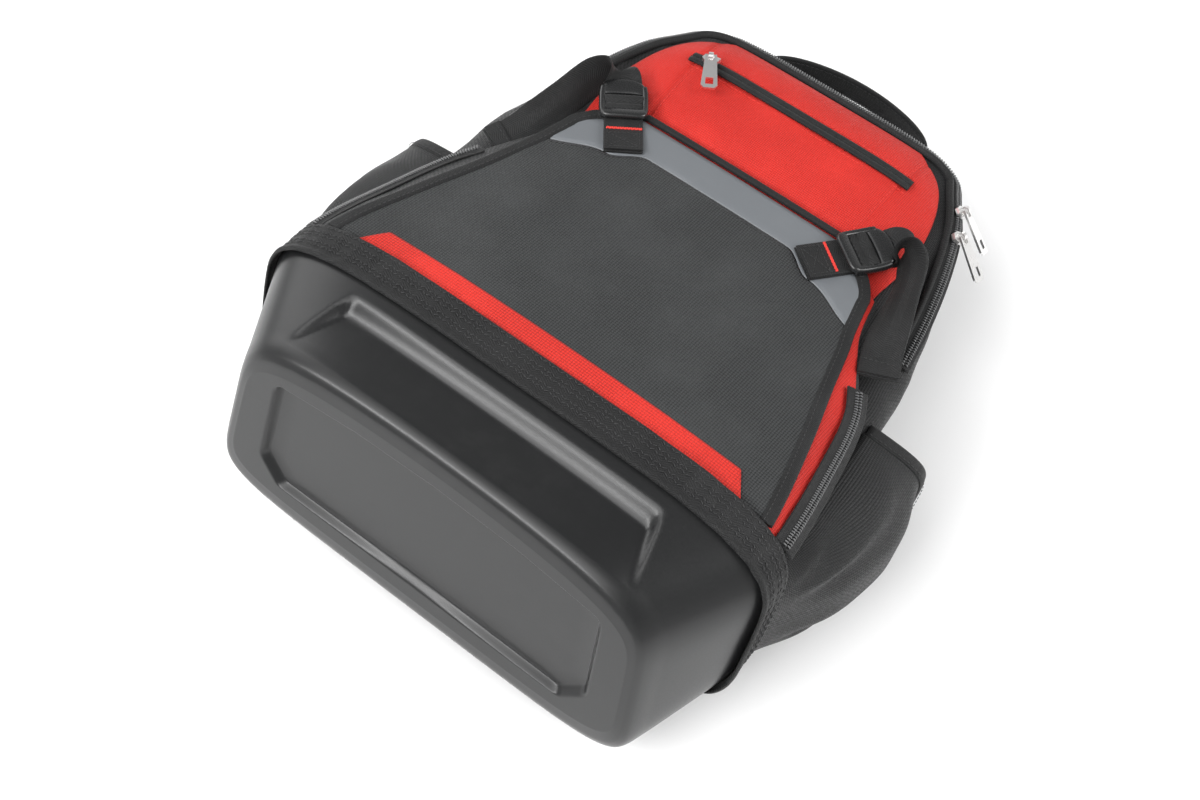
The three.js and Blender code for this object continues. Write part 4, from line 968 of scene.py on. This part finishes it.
def makeFacing():
    lift = layers["gap"] + layers["sheet"]
    seam = facing["seam"]
    bandEdge = build["rimFront"] + band["wide"] - band["below"] + seam

    def panelRelief(x, y, u, v):
        edge = ease(np.abs(u), 1.0, 0.93)
        drawn = ease(y, trimLow(x), trimLow(x) - 5) * ease(y, bandEdge, bandEdge + 4)
        return edge * drawn * 0.9 + 0.25 * unevenness(x, y, 70, 31) * edge

    panel = layOn("frontPanel", lambda x: bandEdge + 0 * x, lambda x: trimLow(x) - seam,
                  lambda y, v: panelHalf(y), frontHeight, lift, facing["columns"], facing["rows"],
                  panelRelief)
    addWall(panel, layers["sheet"])
    dress(panel, finishes["black"], "black_cloth", "front_panel")

    start = facing["stripLow"]
    wide = facing["stripWide"]
    stripHalf = lambda y, v: halfMouth * (0.763 - 0.06 * ((y - start) / wide))
    stripRelief = lambda x, y, u, v: 0.35 * (1 - np.abs(2 * v - 1) ** 6)
    strip = layOn("redStrip", lambda x: start + 0 * x, lambda x: start + wide + 0 * x, stripHalf,
                  frontHeight, 2 * layers["gap"] + 1.9, 160, 16, stripRelief)
    addWall(strip, 1.0)
    dress(strip, finishes["redRib"], "red_cloth", "red_strip")

    trimTop = lambda x: frontTop(x) - facing["pipingWide"] - 1.8

    def trimRelief(x, y, u, v):
        inside = ease(v, 0, 0.12) * ease(v, 1, 0.85) * ease(np.abs(u), 1, 0.95)
        return inside * (1.0 + 0.35 * unevenness(x, y * 2, 60, 33))

    trim = layOn("coatedTrim", lambda x: trimLow(x) + seam, trimTop, lambda y, v: panelHalf(y),
                 frontHeight, lift, facing["columns"], 30, trimRelief)
    addWall(trim, layers["sheet"])
    dress(trim, finishes["coated"], "grey_coated", "grey_trim")

    xs = np.linspace(-1, 1, 200) * panelHalf(285.0)
    seams = [stitchOn("trimSeam", frontHeight, xs * 0.985, trimLow(xs * 0.985) - 2.6, lift + 0.6)]
    xs = np.linspace(-0.755, 0.755, 200) * halfMouth
    seams.append(stitchOn("stripSeam", frontHeight, xs, start - 1.6 + 0 * xs, lift + 0.4))
    dress(joined("facingStitches", seams), finishes["thread"], "webbing")


def makePiping():
    xs = 0.57 * halfMouth * np.linspace(1, -1, 120)
    ys = frontTop(xs) - facing["pipingWide"] / 2 - 0.6
    line, ups = onHeight(frontHeight, xs, ys, layers["gap"])
    section = roundSection(facing["pipingWide"], 3.4, 14, 2.6)
    made = sweptObject("topPiping", stationsAlong(line, ups), section)
    dress(made, finishes["binding"], "webbing", "top_piping")


def makeBindings():
    ups = np.linspace(0.1, 0.97, 90)
    xs = np.interp(ups, edgeUps, edgeX) - facing["binding"] / 2 - 0.35
    ys = np.interp(ups, edgeUps, edgeY)
    turn = smoothLine([(xs[-3], ys[-3]), (xs[-1], ys[-1]), (102.5, 309.5), (97.0, 314.5)], 14)
    xs = np.concatenate([xs[:-3], turn[:, 0]])
    ys = np.concatenate([ys[:-3], turn[:, 1]])
    line, out = onHeight(frontHeight, xs, ys, layers["gap"] - 0.1)
    made = sweptObject("panelBinding", stationsAlong(line, out),
                       roundSection(facing["binding"] + 0.4, facing["bindingThick"] + 0.7, 20, 3.2))
    dressPair(made, "panelBinding", finishes["binding"], "webbing", "panel_binding")
    inset = facing["binding"] - 1.9
    row = stitchOn("bindingStitch", frontHeight, xs + facing["binding"] / 2 - inset, ys,
                   layers["gap"] + facing["bindingThick"] + 0.55)
    dressPair(row, "bindingStitch", finishes["thread"], "webbing")


makeFacing()
makePiping()
makeBindings()
print("front pieces made")


# Red pocket at the top: puffed between its edges, with seams that slant in towards the zipper

redPocket = {"puff": 6.0, "columns": 150, "rows": 90, "seamX": 77.0, "seamTop": 82.0, "zipShare": 0.68,
             "groove": 1.1, "reach": 9.0, "zipSeam": 7.5, "zipReach": 88.0}
pocketStartY = build["rimFront"] + build["frontLength"]
pocketEndY = pocketStartY + build["pocketLength"] + redPocket["reach"]
pocketZipY = pocketStartY + redPocket["zipShare"] * build["pocketLength"]


def topPocketHalf(y):
    up = (y - pocketStartY + 24) / (pocketEndY - pocketStartY + 24)
    return halfMouth * readTable(topPocketOutline, np.clip(up, 0, 1), "wide")


def topPocketHeight(x, y):
    start = frontTop(x) + 2
    v = np.clip((y - start) / (pocketEndY - start), 0, 1)
    u = np.minimum(np.abs(x) / topPocketHalf(y), 1)
    return bodyHeight(x, y) + redPocket["puff"] * (1 - u**5) * (1 - np.abs(2 * v - 1) ** 5)


def seamX(y):
    return mix(redPocket["seamX"], redPocket["seamTop"], (y - pocketStartY + 12) / build["pocketLength"])


def makeRedPocket():
    lift = layers["gap"] + layers["cloth"]

    def relief(x, y, u, v):
        seam = np.exp(-((np.abs(x) - seamX(y)) / 1.6) ** 2)
        zipLine = np.exp(-((y - pocketZipY) / 6) ** 4) * ease(np.abs(x), 92, 86)
        edge = ease(np.abs(u), 1, 0.96) * ease(v, 0, 0.05) * ease(v, 1, 0.94)
        wave = 0.5 * unevenness(x, y, 64, 41) * edge
        return wave - redPocket["groove"] * seam - 0.5 * zipLine

    made = layOn("redPocket", lambda x: frontTop(x) + 2, lambda x: pocketEndY + 0 * x,
                 lambda y, v: topPocketHalf(y), topPocketHeight, lift, redPocket["columns"],
                 redPocket["rows"], relief)
    addWall(made, layers["cloth"])
    dress(made, finishes["red"], "red_cloth", "top_pocket")
    rows = []
    ys = np.linspace(pocketStartY - 4, pocketEndY - 12, 80)
    for side in (-1, 1):
        xs = side * (seamX(ys) - 2.4)
        rows.append(stitchOn(f"pocketSeam{side}", topPocketHeight, xs, ys, lift - 0.05))
    xs = np.linspace(-redPocket["zipReach"], redPocket["zipReach"], 100)
    for offset in (-redPocket["zipSeam"], redPocket["zipSeam"]):
        ys = pocketZipY + offset + 0 * xs
        rows.append(stitchOn(f"pocketZipSeam{offset}", topPocketHeight, xs, ys, lift - 0.02))
    dress(joined("pocketStitches", rows), finishes["redThread"], "red_cloth")


makeRedPocket()
print("red pocket made")


# Zippers: a tape with a raised middle and two rows of bent coil turns. The pocket's lies under two
# flaps, and a piping runs beside the main one.

zipperSizes = {"tape": 1.0, "crown": 1.3, "pitch": 1.9, "wire": 0.6, "front": 16.0, "main": 11.0}


def coilTurn():
    turn = np.linspace(0, 2 * math.pi, 6)[:-1]
    spine = np.array([[0.2, 0.55], [0.9, 1.1], [1.9, 1.1], [2.7, 0.35]])
    size = np.array([0.75, 1.0, 1.0, 0.8]) * zipperSizes["wire"]
    rings = [np.stack([r * np.cos(turn), np.full(5, side), rise + r * np.sin(turn)], -1)
             for (side, rise), r in zip(spine, size)]
    i, j = np.meshgrid(np.arange(3), np.arange(5), indexing="ij")
    k = (j + 1) % 5
    quads = np.stack([i * 5 + j, i * 5 + k, (i + 1) * 5 + k, (i + 1) * 5 + j], -1).reshape(-1, 4)
    return np.concatenate(rings), quads


def zipperPieces(points, ups, wide):
    stations = stationsAlong(points, ups)
    half = wide / 2
    tape = zipperSizes["tape"]
    crown = zipperSizes["crown"]
    rim = [[half, 0], [half, 0.75 * tape], [half * 0.92, tape], [half * 0.62, tape], [half * 0.54, crown]]
    section = rim + [[-x, z] for x, z in rim[::-1]]
    strip = sweptObject("tape", stations, section)
    centre, across, up, run = stations
    length = lengthAlong(centre)
    places = np.arange(zipperSizes["pitch"], length[-1] - zipperSizes["pitch"], zipperSizes["pitch"])
    shape, faces = coilTurn()
    rows = []
    for side in (-1, 1):
        at = places + (0.5 * zipperSizes["pitch"] if side > 0 else 0)
        local = shape * np.array([1, side, 1]) + np.array([0, 0, crown - 0.15])
        order = faces if side < 0 else faces[:, ::-1]
        axes = [unit(columnsAt(at, length, values)) for values in (run, across, up)]
        rows.append(scatterObject("coil", local, order, columnsAt(at, length, centre), *axes))
    return strip, joined("coil", rows)


def makePocketZipper():
    xs = np.linspace(-0.48, 0.48, 90) * halfMouth
    lift = 2 * layers["gap"] + layers["cloth"] - 0.3
    points, ups = onHeight(topPocketHeight, xs, pocketZipY + 0 * xs, lift)
    half = [4.8, 4.7, 4.0, 0.7, 0.25]
    rise = [0.0, 0.7, 1.3, 1.45, 0.5]
    section = [[x, z] for x, z in zip(half, rise)] + [[-x, z] for x, z in zip(half[::-1], rise[::-1])]
    flaps = sweptObject("pocketZipperFlaps", stationsAlong(points, ups), section)
    dress(flaps, finishes["binding"], "webbing", "pocket_zipper")


def makeFrontZippers():
    ups = np.linspace(0.098, 0.72, 80)
    zipAt = halfMouth * readTable(frontSections, ups, "zip")
    z = backZ + bagDepth * readTable(frontSections, ups, "zipHeight")
    y = mix(rimY(z), frontTop(zipAt), ups)
    points = np.stack([zipAt + 0.9, y, z + 0.9], -1)
    out = np.broadcast_to(unit(np.array([0.62, 0.0, 0.78])), points.shape)
    tape, coil = zipperPieces(points, out, zipperSizes["front"])
    dressPair(tape, "frontZipperTape", finishes["binding"], "webbing", "front_zipper")
    dressPair(coil, "frontZipperCoil", finishes["coil"], "webbing")


mainZipper = {"angle": 34.0, "lift": 0.95, "topAlong": 0.962, "beside": 7.0, "below": 2.4}


def makeMainZipper():
    base = mainZipper["angle"]
    side = [(mix(0.53, 0.935, share), base) for share in np.linspace(0, 1, 19)]
    side += [(0.95, base + 4), (0.959, base + 11)]
    over = [(mainZipper["topAlong"], mix(base + 19, 161 - base, share)) for share in np.linspace(0, 1, 31)]
    route = side + over + [(along, 180 - angle) for along, angle in side[::-1]]
    along = np.array([at for at, _ in route])
    angle = np.radians([turn for _, turn in route])
    point = bodyPoint(along, angle)
    step = 0.02
    around = bodyPoint(along, angle + step) - bodyPoint(along, angle - step)
    climb = bodyPoint(np.minimum(along + step, 1), angle) - bodyPoint(along - step, angle)
    out = unit(np.cross(climb, around))
    both = smoothLine(np.concatenate([point + out * mainZipper["lift"], out * 60], 1), 420)
    tape, coil = zipperPieces(both[:, :3], unit(both[:, 3:]), zipperSizes["main"])
    tape.name = "mainZipperTape"
    coil.name = "mainZipperCoil"
    dress(tape, finishes["binding"], "webbing", "main_zipper")
    dress(coil, finishes["coil"], "webbing")
    centre, across, up, _ = stationsAlong(both[:, :3], unit(both[:, 3:]))
    inner = np.sign(np.sum(across[210] * np.array([0, -1.0, 0.4])))
    edge = centre + across * inner * mainZipper["beside"] - up * mainZipper["below"]
    piping = sweptObject("mainPiping", stationsAlong(edge, up), roundSection(3.8, 5.2, 16, 2.2))
    dress(piping, finishes["webbing"], "webbing")


makePocketZipper()
makeFrontZippers()
makeMainZipper()
print("zippers made")


# Side pockets: a sheet that stands off the body and sags, with folds that fan out from its foot

sidePocket = {"bulge": 33.0, "length": 156.0, "start": 22.0, "rim": 8.0, "rows": 90, "columns": 110,
              "fold": 3.6, "deepest": 3.0}
sidePocketSections = {
    "at": [0, 0.2, 0.45, 0.7, 1],
    "low": [-36, -38, -40, -41, -40],
    "high": [30, 32, 34, 35, 35],
    "bulge": [0.05, 0.42, 0.82, 1, 0.86],
}


def sidePocketPoint(up, share, extra):
    low, high, bulge = [readTable(sidePocketSections, up, key) for key in ("low", "high", "bulge")]
    angle = np.radians(mix(low, high, share))
    probeZ = bodyPoint(0.2 + 0 * angle, angle)[..., 2]
    reach = (sidePocket["length"] * mix(1, 0.8, share) - sidePocket["rim"]) * up + extra
    y = rimY(probeZ) + sidePocket["start"] + reach
    half, lowZ, highZ = bodySize(alongAt(y, probeZ))
    x, z = roundedSection(angle, half, lowZ, highZ)
    swell = np.maximum(np.sin(math.pi * np.clip(share, 0, 1)), 0) ** 0.6
    out = sidePocket["bulge"] * bulge * swell + layers["cloth"] + layers["gap"]
    return np.stack([x + out, y, z - 0.12 * out], -1)


def pocketFolds(up, share):
    fan = np.sin((share - 0.5) * 19 / (0.35 + up) + 1.3)
    slack = ease(up, 0.04, 0.35) * ease(up, 1.0, 0.8) * np.sin(math.pi * share) ** 0.8
    cross = unevenness(up * 150, share * 110, 85, 51)
    return sidePocket["fold"] * slack * (0.8 * fan + 0.4 * cross)


def makeSidePockets():
    up = np.linspace(0, 1, sidePocket["rows"])[:, None]
    share = np.linspace(1, 0, sidePocket["columns"])[None] + 0 * up
    up = up + 0 * share
    points = sidePocketPoint(up, share, 0)
    points[..., 0] += np.minimum(pocketFolds(up, share), sidePocket["deepest"])
    right = gridObject("sidePocket", points)
    addWall(right, 1.6)
    dressPair(right, "sidePocket", finishes["sideBlack"], "black_cloth", "side_pocket")
    extra = np.linspace(-0.5, sidePocket["rim"], 9)[:, None]
    share = np.linspace(1, 0, sidePocket["columns"])[None]
    rim = sidePocketPoint(1 + 0 * (share + extra), share + 0 * extra, extra + 0 * share)
    rim[..., 0] += 0.6 + 0.7 * np.sin(math.pi * np.linspace(0, 1, 9))[:, None]
    hem = gridObject("pocketHem", rim)
    addWall(hem, 3.0)
    dressPair(hem, "pocketHem", finishes["binding"], "webbing", "pocket_binding")
    line = rim[2] + np.array([1.0, 0, 0.1])
    row = stitchRow("pocketHemStitch", line, np.broadcast_to(np.array([1.0, 0, 0.2]), line.shape))
    dressPair(row, "pocketHemStitch", finishes["thread"], "webbing")


makeSidePockets()
print("side pockets made")


# Buckles: two rails, a broad near bar, a ribbed middle bar and a raised lip at the far end

buckle = {"width": 31.0, "reach": 92.0, "station": 222.0, "turn": 36.0, "tip": 42.0, "near": 8.0}


def buckleAxes():
    turn = math.radians(buckle["turn"])
    run = np.array([math.sin(turn), math.cos(turn), 0.0])
    centre = np.array([buckle["reach"], build["rimFront"] + buckle["station"], 0.0])
    tip = centre - run * buckle["tip"]
    near = centre - run * buckle["near"]
    tip[2] = frontHeight(tip[0], tip[1])
    near[2] = frontHeight(near[0], near[1])
    slope = unit(near - tip)
    out = np.cross(slope, np.array([-run[1], run[0], 0.0]))
    out = unit(out if out[2] > 0 else -out)
    lift = layers["sheet"] + layers["gap"] + 0.35
    origin = tip + slope * buckle["tip"] + out * lift
    return origin, np.cross(slope, out), slope, out


buckleOrigin, buckleAcross, buckleRun, buckleOut = buckleAxes()


def inBuckle(local):
    local = np.asarray(local, float)
    across, run, out = local[..., :1], local[..., 1:2], local[..., 2:]
    return buckleOrigin + across * buckleAcross + run * buckleRun + out * buckleOut


def buckleBar(name, xs, ys, zs, depths, heights, tilts):
    xs = np.asarray(xs, float)
    angle = np.linspace(0, 2 * math.pi, 21)[:-1]
    y0 = 0.5 * depths[:, None] * signedPower(np.cos(angle), 0.72)
    z0 = 0.5 * heights[:, None] * signedPower(np.sin(angle), 0.72)
    lean = np.radians(tilts)[:, None]
    y = ys[:, None] + y0 * np.cos(lean) - z0 * np.sin(lean)
    z = zs[:, None] + y0 * np.sin(lean) + z0 * np.cos(lean)
    local = np.stack([xs[:, None] + 0 * y, y, z], -1)
    return gridObject(name, inBuckle(local), ring=True, ends=True)


def makeBuckles():
    half = buckle["width"] / 2
    t = np.linspace(-1, 1, 41)
    one = 1 + 0 * t
    tapered = np.sqrt(np.maximum(1 - np.abs(t) ** 12, 0.02))
    near = buckleBar("near", t * half, -11.6 + 2.4 * t**6, 6.2 - 0.5 * t**2, 8.2 * tapered,
                     4.4 * tapered, -10 * one)
    middle = buckleBar("middle", t * 13.5, 1.6 * one, 4.4 * one, 3.6 * one, 2.8 * one, 0 * one)
    lip = buckleBar("lip", t * (half - 0.3), 11.6 - 3.4 * np.abs(t) ** 2.4, 8.0 - 1.7 * t**4,
                    (11.4 - 4.6 * np.abs(t) ** 2.4) * tapered, 2.9 * tapered, 14 * one)
    rails = []
    for side in (-1, 1):
        s = np.linspace(-1, 1, 30)
        line = np.stack([side * (13.9 - 0.9 * s**4), 11.6 * s, 5.0 + 0.8 * s**2 + 0.8 * s], -1)
        stations = stationsAlong(inBuckle(line), np.broadcast_to(buckleOut, line.shape))
        rails.append(sweptObject("rail", stations, roundSection(4.2, 5.6, 16, 2.8, -2.8)))
    ribs = []
    for at in (0.3, 1.6, 2.9):
        ribs.append(buckleBar("rib", t * 12.4, at * one, 5.6 * one, 0.5 * one, 0.6 * one, 0 * one))
    made = joined("ladderBuckle", [near, middle, lip, *rails, *ribs])
    dressPair(made, "ladderBuckle", finishes["buckle"], "moulded", "buckle")


# Routes of the webbing: its run and rise in the buckle's axes, then for the tail its place from the
# buckle with the direction across it. The left tail hangs lower by the drop of each row.
tabRoute = [(-42, 1.1), (-30, 1.1), (-16, 1.1), (-11.5, 1.3), (-10.2, 2.2), (-11.5, 3.1), (-16, 3.1),
            (-24, 3.0), (-41.4, 3.0)]
strapRoute = [(22, 1.2), (8, 1.2), (0, 1.2), (-4.6, 1.3), (-6.9, 2.6), (-7.0, 5.0), (-5.0, 6.3),
              (-3.2, 5.9), (-2.0, 5.6), (-0.4, 6.7), (1.6, 7.6), (4.0, 6.9), (5.6, 5.2), (8.5, 4.1),
              (13, 4.3)]
tailRoute = [
    (13.5, 15.5, 7.6, 0.8, -0.58, 0.12), (18, 16.5, 9.3, 0.78, -0.48, 0.32),
    (23.5, 13.5, 9, 0.72, -0.25, 0.56),
    (29, 8, 8, 0.66, 0.0, 0.72), (33, 0, 6, 0.6, 0.05, 0.76), (36.5, -13, 4, 0.66, 0.05, 0.7),
    (41, -31, 1.5, 0.8, 0.12, 0.5), (46, -49, -1.5, 0.9, 0.22, 0.2), (54, -68, -2.6, 0.91, 0.36, 0.0),
]
leftDrop = [0, 1.0, 2.6, 4.5, 6.5, 9.0, 11.0, 12.0, 12.0]


# Webbing from its middle line and the direction across it, with softly rounded edges
def webbingObject(name, line, across, width, thickness=1.6, count=160):
    both = smoothLine(np.concatenate([line, across * 20], 1), count)
    points = both[:, :3]
    run = unit(np.gradient(points, axis=0))
    side = unit(both[:, 3:] - run * np.sum(both[:, 3:] * run, -1, keepdims=True))
    up = np.cross(side, run)
    section = roundSection(width, thickness, 20, 7, -thickness / 2)
    return sweptObject(name, (points, side, up, run), section)


def routeInBuckle(route):
    line = inBuckle([(0, run, rise) for run, rise in route])
    return line, np.broadcast_to(buckleAcross, line.shape)


def makeStraps():
    wide = layers["webbingWidth"]
    tab = webbingObject("strapTab", *routeInBuckle(tabRoute), wide)
    dressPair(tab, "strapTab", finishes["webbing"], "webbing", "strap_tab")
    line, across = routeInBuckle(strapRoute)
    tail = np.array(tailRoute, float)
    across = np.concatenate([across, unit(tail[:, 3:])])
    for side in ("Right", "Left"):
        low = np.zeros((len(tail), 3))
        if side == "Left":
            low[:, 2] = leftDrop
        route = np.concatenate([line, buckleOrigin + tail[:, :3] - low])
        strap = webbingObject("compressionStrap" + side, route, across, wide, count=260)
        both = smoothLine(np.concatenate([route, across * 20], 1), 260)[-19:-1]
        outward = unit(np.cross(both[:, 3:], np.gradient(both[:, :3], axis=0)))
        outward = outward * np.sign(outward[-1] @ np.array([1.0, 0, 1.0]))
        folded = both[::4, :3] + outward[::4] * 1.62
        hem = webbingObject("strapHem" + side, folded, both[::4, 3:] / 20, wide, 1.5, 24)
        over = np.linspace(-0.44, 0.44, 20)[:, None] * wide * unit(both[3, 3:])
        stitch = stitchRow("hemStitch" + side, both[3, :3] + outward[3] * 2.5 + over,
                           np.broadcast_to(outward[3], over.shape))
        for piece, finish in ((strap, "webbing"), (hem, "webbing"), (stitch, "thread")):
            nodes = ["compression_strap_" + side.lower()] if piece is strap else []
            if side == "Left":
                turned = mirrorObject(piece, piece.name + "Turned")
                bpy.data.objects.remove(piece)
                turned.name = turned.name.replace("Turned", "")
                piece = turned
            dress(piece, finishes[finish], "webbing", *nodes)


# Stitches of a tab: a box with a cross in it, and a red bar over the width of the webbing
def makeTabStitches():
    wide = layers["webbingWidth"]
    top = tabRoute[-1][1] + layers["webbing"] / 2 + 0.12
    edge = wide / 2 - 2.2
    outline = [(-edge, -18), (-edge, -39.4), (edge, -39.4), (edge, -18)]
    rows = []
    sides = list(zip(outline[:-1], outline[1:]))
    sides += [((-edge, -27), (edge, -39.4)), ((edge, -27), (-edge, -39.4)), ((-edge, -27), (edge, -27))]
    for (x0, y0), (x1, y1) in sides:
        t = np.linspace(0, 1, 12)
        row = inBuckle(np.stack([mix(x0, x1, t), mix(y0, y1, t), top + 0 * t], -1))
        ups = np.broadcast_to(buckleOut, row.shape)
        rows.append(stitchRow("tabRow", row, ups, length=2.1, gap=0.7, radius=0.26))
    dressPair(joined("tabStitch", rows), "tabStitch", finishes["thread"], "webbing")
    bars = []
    for offset in (-0.55, 0.0, 0.55):
        t = np.linspace(-1, 1, 12)
        row = inBuckle(np.stack([t * (wide / 2 - 0.6), -23.0 + offset + 0 * t, top + 0.1 + 0 * t], -1))
        ups = np.broadcast_to(buckleOut, row.shape)
        bars.append(stitchRow("bar", row, ups, length=1.5, gap=-0.3, radius=0.42, slant=0.35))
    dressPair(joined("redBartack", bars), "redBartack", finishes["redThread"], "red_cloth")


makeBuckles()
makeStraps()
makeTabStitches()
print("buckles and straps made")


# Grab handle: doubled webbing on edge, bowed out from the top wall

handle = {"span": 136.0, "thick": 3.4, "stitch": 0.36}


def makeHandle():
    low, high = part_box("grab_handle")
    middleZ = (low.z + high.z) / 2 / mm
    foot = low.y / mm - shiftY
    crown = high.y / mm - shiftY - handle["thick"] / 2
    angle = np.linspace(0, math.pi, 120)
    reach = handle["span"] / 2
    bow = np.maximum(np.sin(angle), 0) ** 0.8
    line = np.stack([reach * np.cos(angle), foot + (crown - foot) * bow, middleZ + 0 * angle], -1)
    stations = stationsAlong(line, np.broadcast_to(np.array([0, 0, 1.0]), line.shape))
    tall = layers["webbingWidth"] * (1 - 0.25 * ease(bow, 0.4, 1.0))
    section = np.stack([roundSection(handle["thick"], t, 24, 5, -t / 2) for t in tall])
    made = sweptObject("grabHandle", stations, section)
    dress(made, finishes["webbing"], "webbing", "grab_handle")
    rows = []
    out = stations[1][8:-8]
    for edge in (-handle["stitch"], handle["stitch"]):
        raised = (line + np.array([0, 0, 1.0]) * (edge * tall)[:, None])[8:-8]
        for side in (-1, 1):
            lift = side * (handle["thick"] / 2 + 0.05)
            rows.append(stitchRow("handleRow", raised + out * lift, out * side))
    dress(joined("handleStitches", rows), finishes["thread"], "webbing")


makeHandle()
print("handle made")


# Pads under the bag: the CAD pad is made finer, blown up as cloth, and kept to its own space

pads = {"voxel": 5.0, "shrink": 1.6, "pressure": 4.0, "frames": 20, "cap": 5.0, "channel": 2.2,
        "spineX": 22.0, "rungStart": 96.0, "rungPitch": 82.0, "wide": 4.0}


def padMesh(name, node):
    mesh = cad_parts[node].data.copy()
    whole = bmesh.new()
    whole.from_mesh(mesh)
    bmesh.ops.remove_doubles(whole, verts=whole.verts, dist=1e-5)
    bmesh.ops.recalc_face_normals(whole, faces=whole.faces)
    whole.normal_update()
    for vertex in whole.verts:
        vertex.co = vertex.co - vertex.normal * pads["shrink"] * mm
    whole.to_mesh(mesh)
    whole.free()
    rough = addObject(name + "Rough", mesh)
    finer = rough.modifiers.new("finer", "REMESH")
    finer.mode = "VOXEL"
    finer.voxel_size = pads["voxel"] * mm
    depsgraph = bpy.context.evaluated_depsgraph_get()
    fine = bpy.data.meshes.new_from_object(rough.evaluated_get(depsgraph))
    bpy.data.objects.remove(rough)
    return addObject(name, fine)


def vertexPlaces(mesh):
    places = np.zeros(len(mesh.vertices) * 3, np.float32)
    mesh.vertices.foreach_get("co", places)
    return places.reshape(-1, 3).astype(float)


def blowUp(pad):
    cloth = pad.modifiers.new("stuffing", "CLOTH")
    cloth.settings.use_pressure = True
    cloth.settings.uniform_pressure_force = pads["pressure"]
    cloth.settings.effector_weights.gravity = 0
    cloth.settings.quality = 5
    cloth.collision_settings.use_self_collision = False
    scene = bpy.context.scene
    start = vertexPlaces(pad.data)
    for step in range(1, pads["frames"] + 1):
        scene.frame_set(step)
    depsgraph = bpy.context.evaluated_depsgraph_get()
    swollen = vertexPlaces(pad.evaluated_get(depsgraph).data)
    pad.modifiers.remove(cloth)
    scene.frame_set(1)
    move = swollen - start
    length = np.linalg.norm(move, axis=1, keepdims=True)
    return start + move * np.minimum(1, pads["cap"] * mm / np.maximum(length, 1e-9))


def makePad(name, node, channels):
    pad = padMesh(name, node)
    places = blowUp(pad)
    low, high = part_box(node)
    share = (places[:, 2] - low.z) / (high.z - low.z)
    lower = np.clip(1 - 2 * share, 0, 1)
    places[:, 2] += channels(places[:, 0] / mm, places[:, 1] / mm - shiftY) * pads["channel"] * mm * lower
    places = np.clip(places, np.array(low), np.array(high))
    pad.data.vertices.foreach_set("co", places.astype(np.float32).ravel())
    pad.data.update()
    weave = pad.data.uv_layers.new(name="weave")
    corner = np.zeros(len(pad.data.loops), np.int32)
    pad.data.loops.foreach_get("vertex_index", corner)
    flat = np.stack([places[:, 0] + places[:, 2], places[:, 1]], -1) / mm
    weave.data.foreach_set("uv", flat[corner].astype(np.float32).ravel())
    pad.data.polygons.foreach_set("use_smooth", np.ones(len(pad.data.polygons), bool))
    finer = pad.modifiers.new("finer", "SUBSURF")
    finer.levels = 1
    finer.render_levels = 1
    dress(pad, finishes["sideBlack"], "black_cloth", node)


# Two grooves along the back pad, and rungs outside them
def backChannels(x, y):
    pitch = pads["rungPitch"]
    spine = np.exp(-((np.abs(x) - pads["spineX"]) / pads["wide"]) ** 2)
    rungs = np.exp(-(((y - pads["rungStart"]) % pitch - pitch / 2) / pads["wide"]) ** 2)
    return np.maximum(spine, rungs * ease(np.abs(x), 20, 26))


makePad("backPad", "back_panel", backChannels)
for side in ("right", "left"):
    makePad("shoulderPad" + side.capitalize(), "shoulder_strap_" + side, lambda x, y: 0 * x)
print("pads made")


# Webbing at the foot of each shoulder strap

def makeBackWebbing():
    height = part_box("strap_webbing_right")[1].z / mm - layers["webbing"] / 2
    line = np.array([(81, 112, height), (94, 94, height), (116, 70, height)], float)
    run = unit(np.gradient(line, axis=0))
    across = np.cross(run, np.array([0, 0, 1.0]))
    made = webbingObject("backWebbing", line, across, layers["webbingWidth"], 1.6, 40)
    dressPair(made, "backWebbing", finishes["webbing"], "webbing", "strap_webbing")


makeBackWebbing()
print("back webbing made")


# Sliders and pull tabs keep their own solids, with their edges softened

def dressMetal():
    for name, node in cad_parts.items():
        if "slider" not in name and "pull" not in name:
            continue
        for place in node.material_slots:
            place.material = finishes["nickel"]
        soft = node.modifiers.new("softEdges", "BEVEL")
        soft.width = 0.3 * mm
        soft.segments = 2
        soft.limit_method = "ANGLE"


dressMetal()
print("metal dressed")
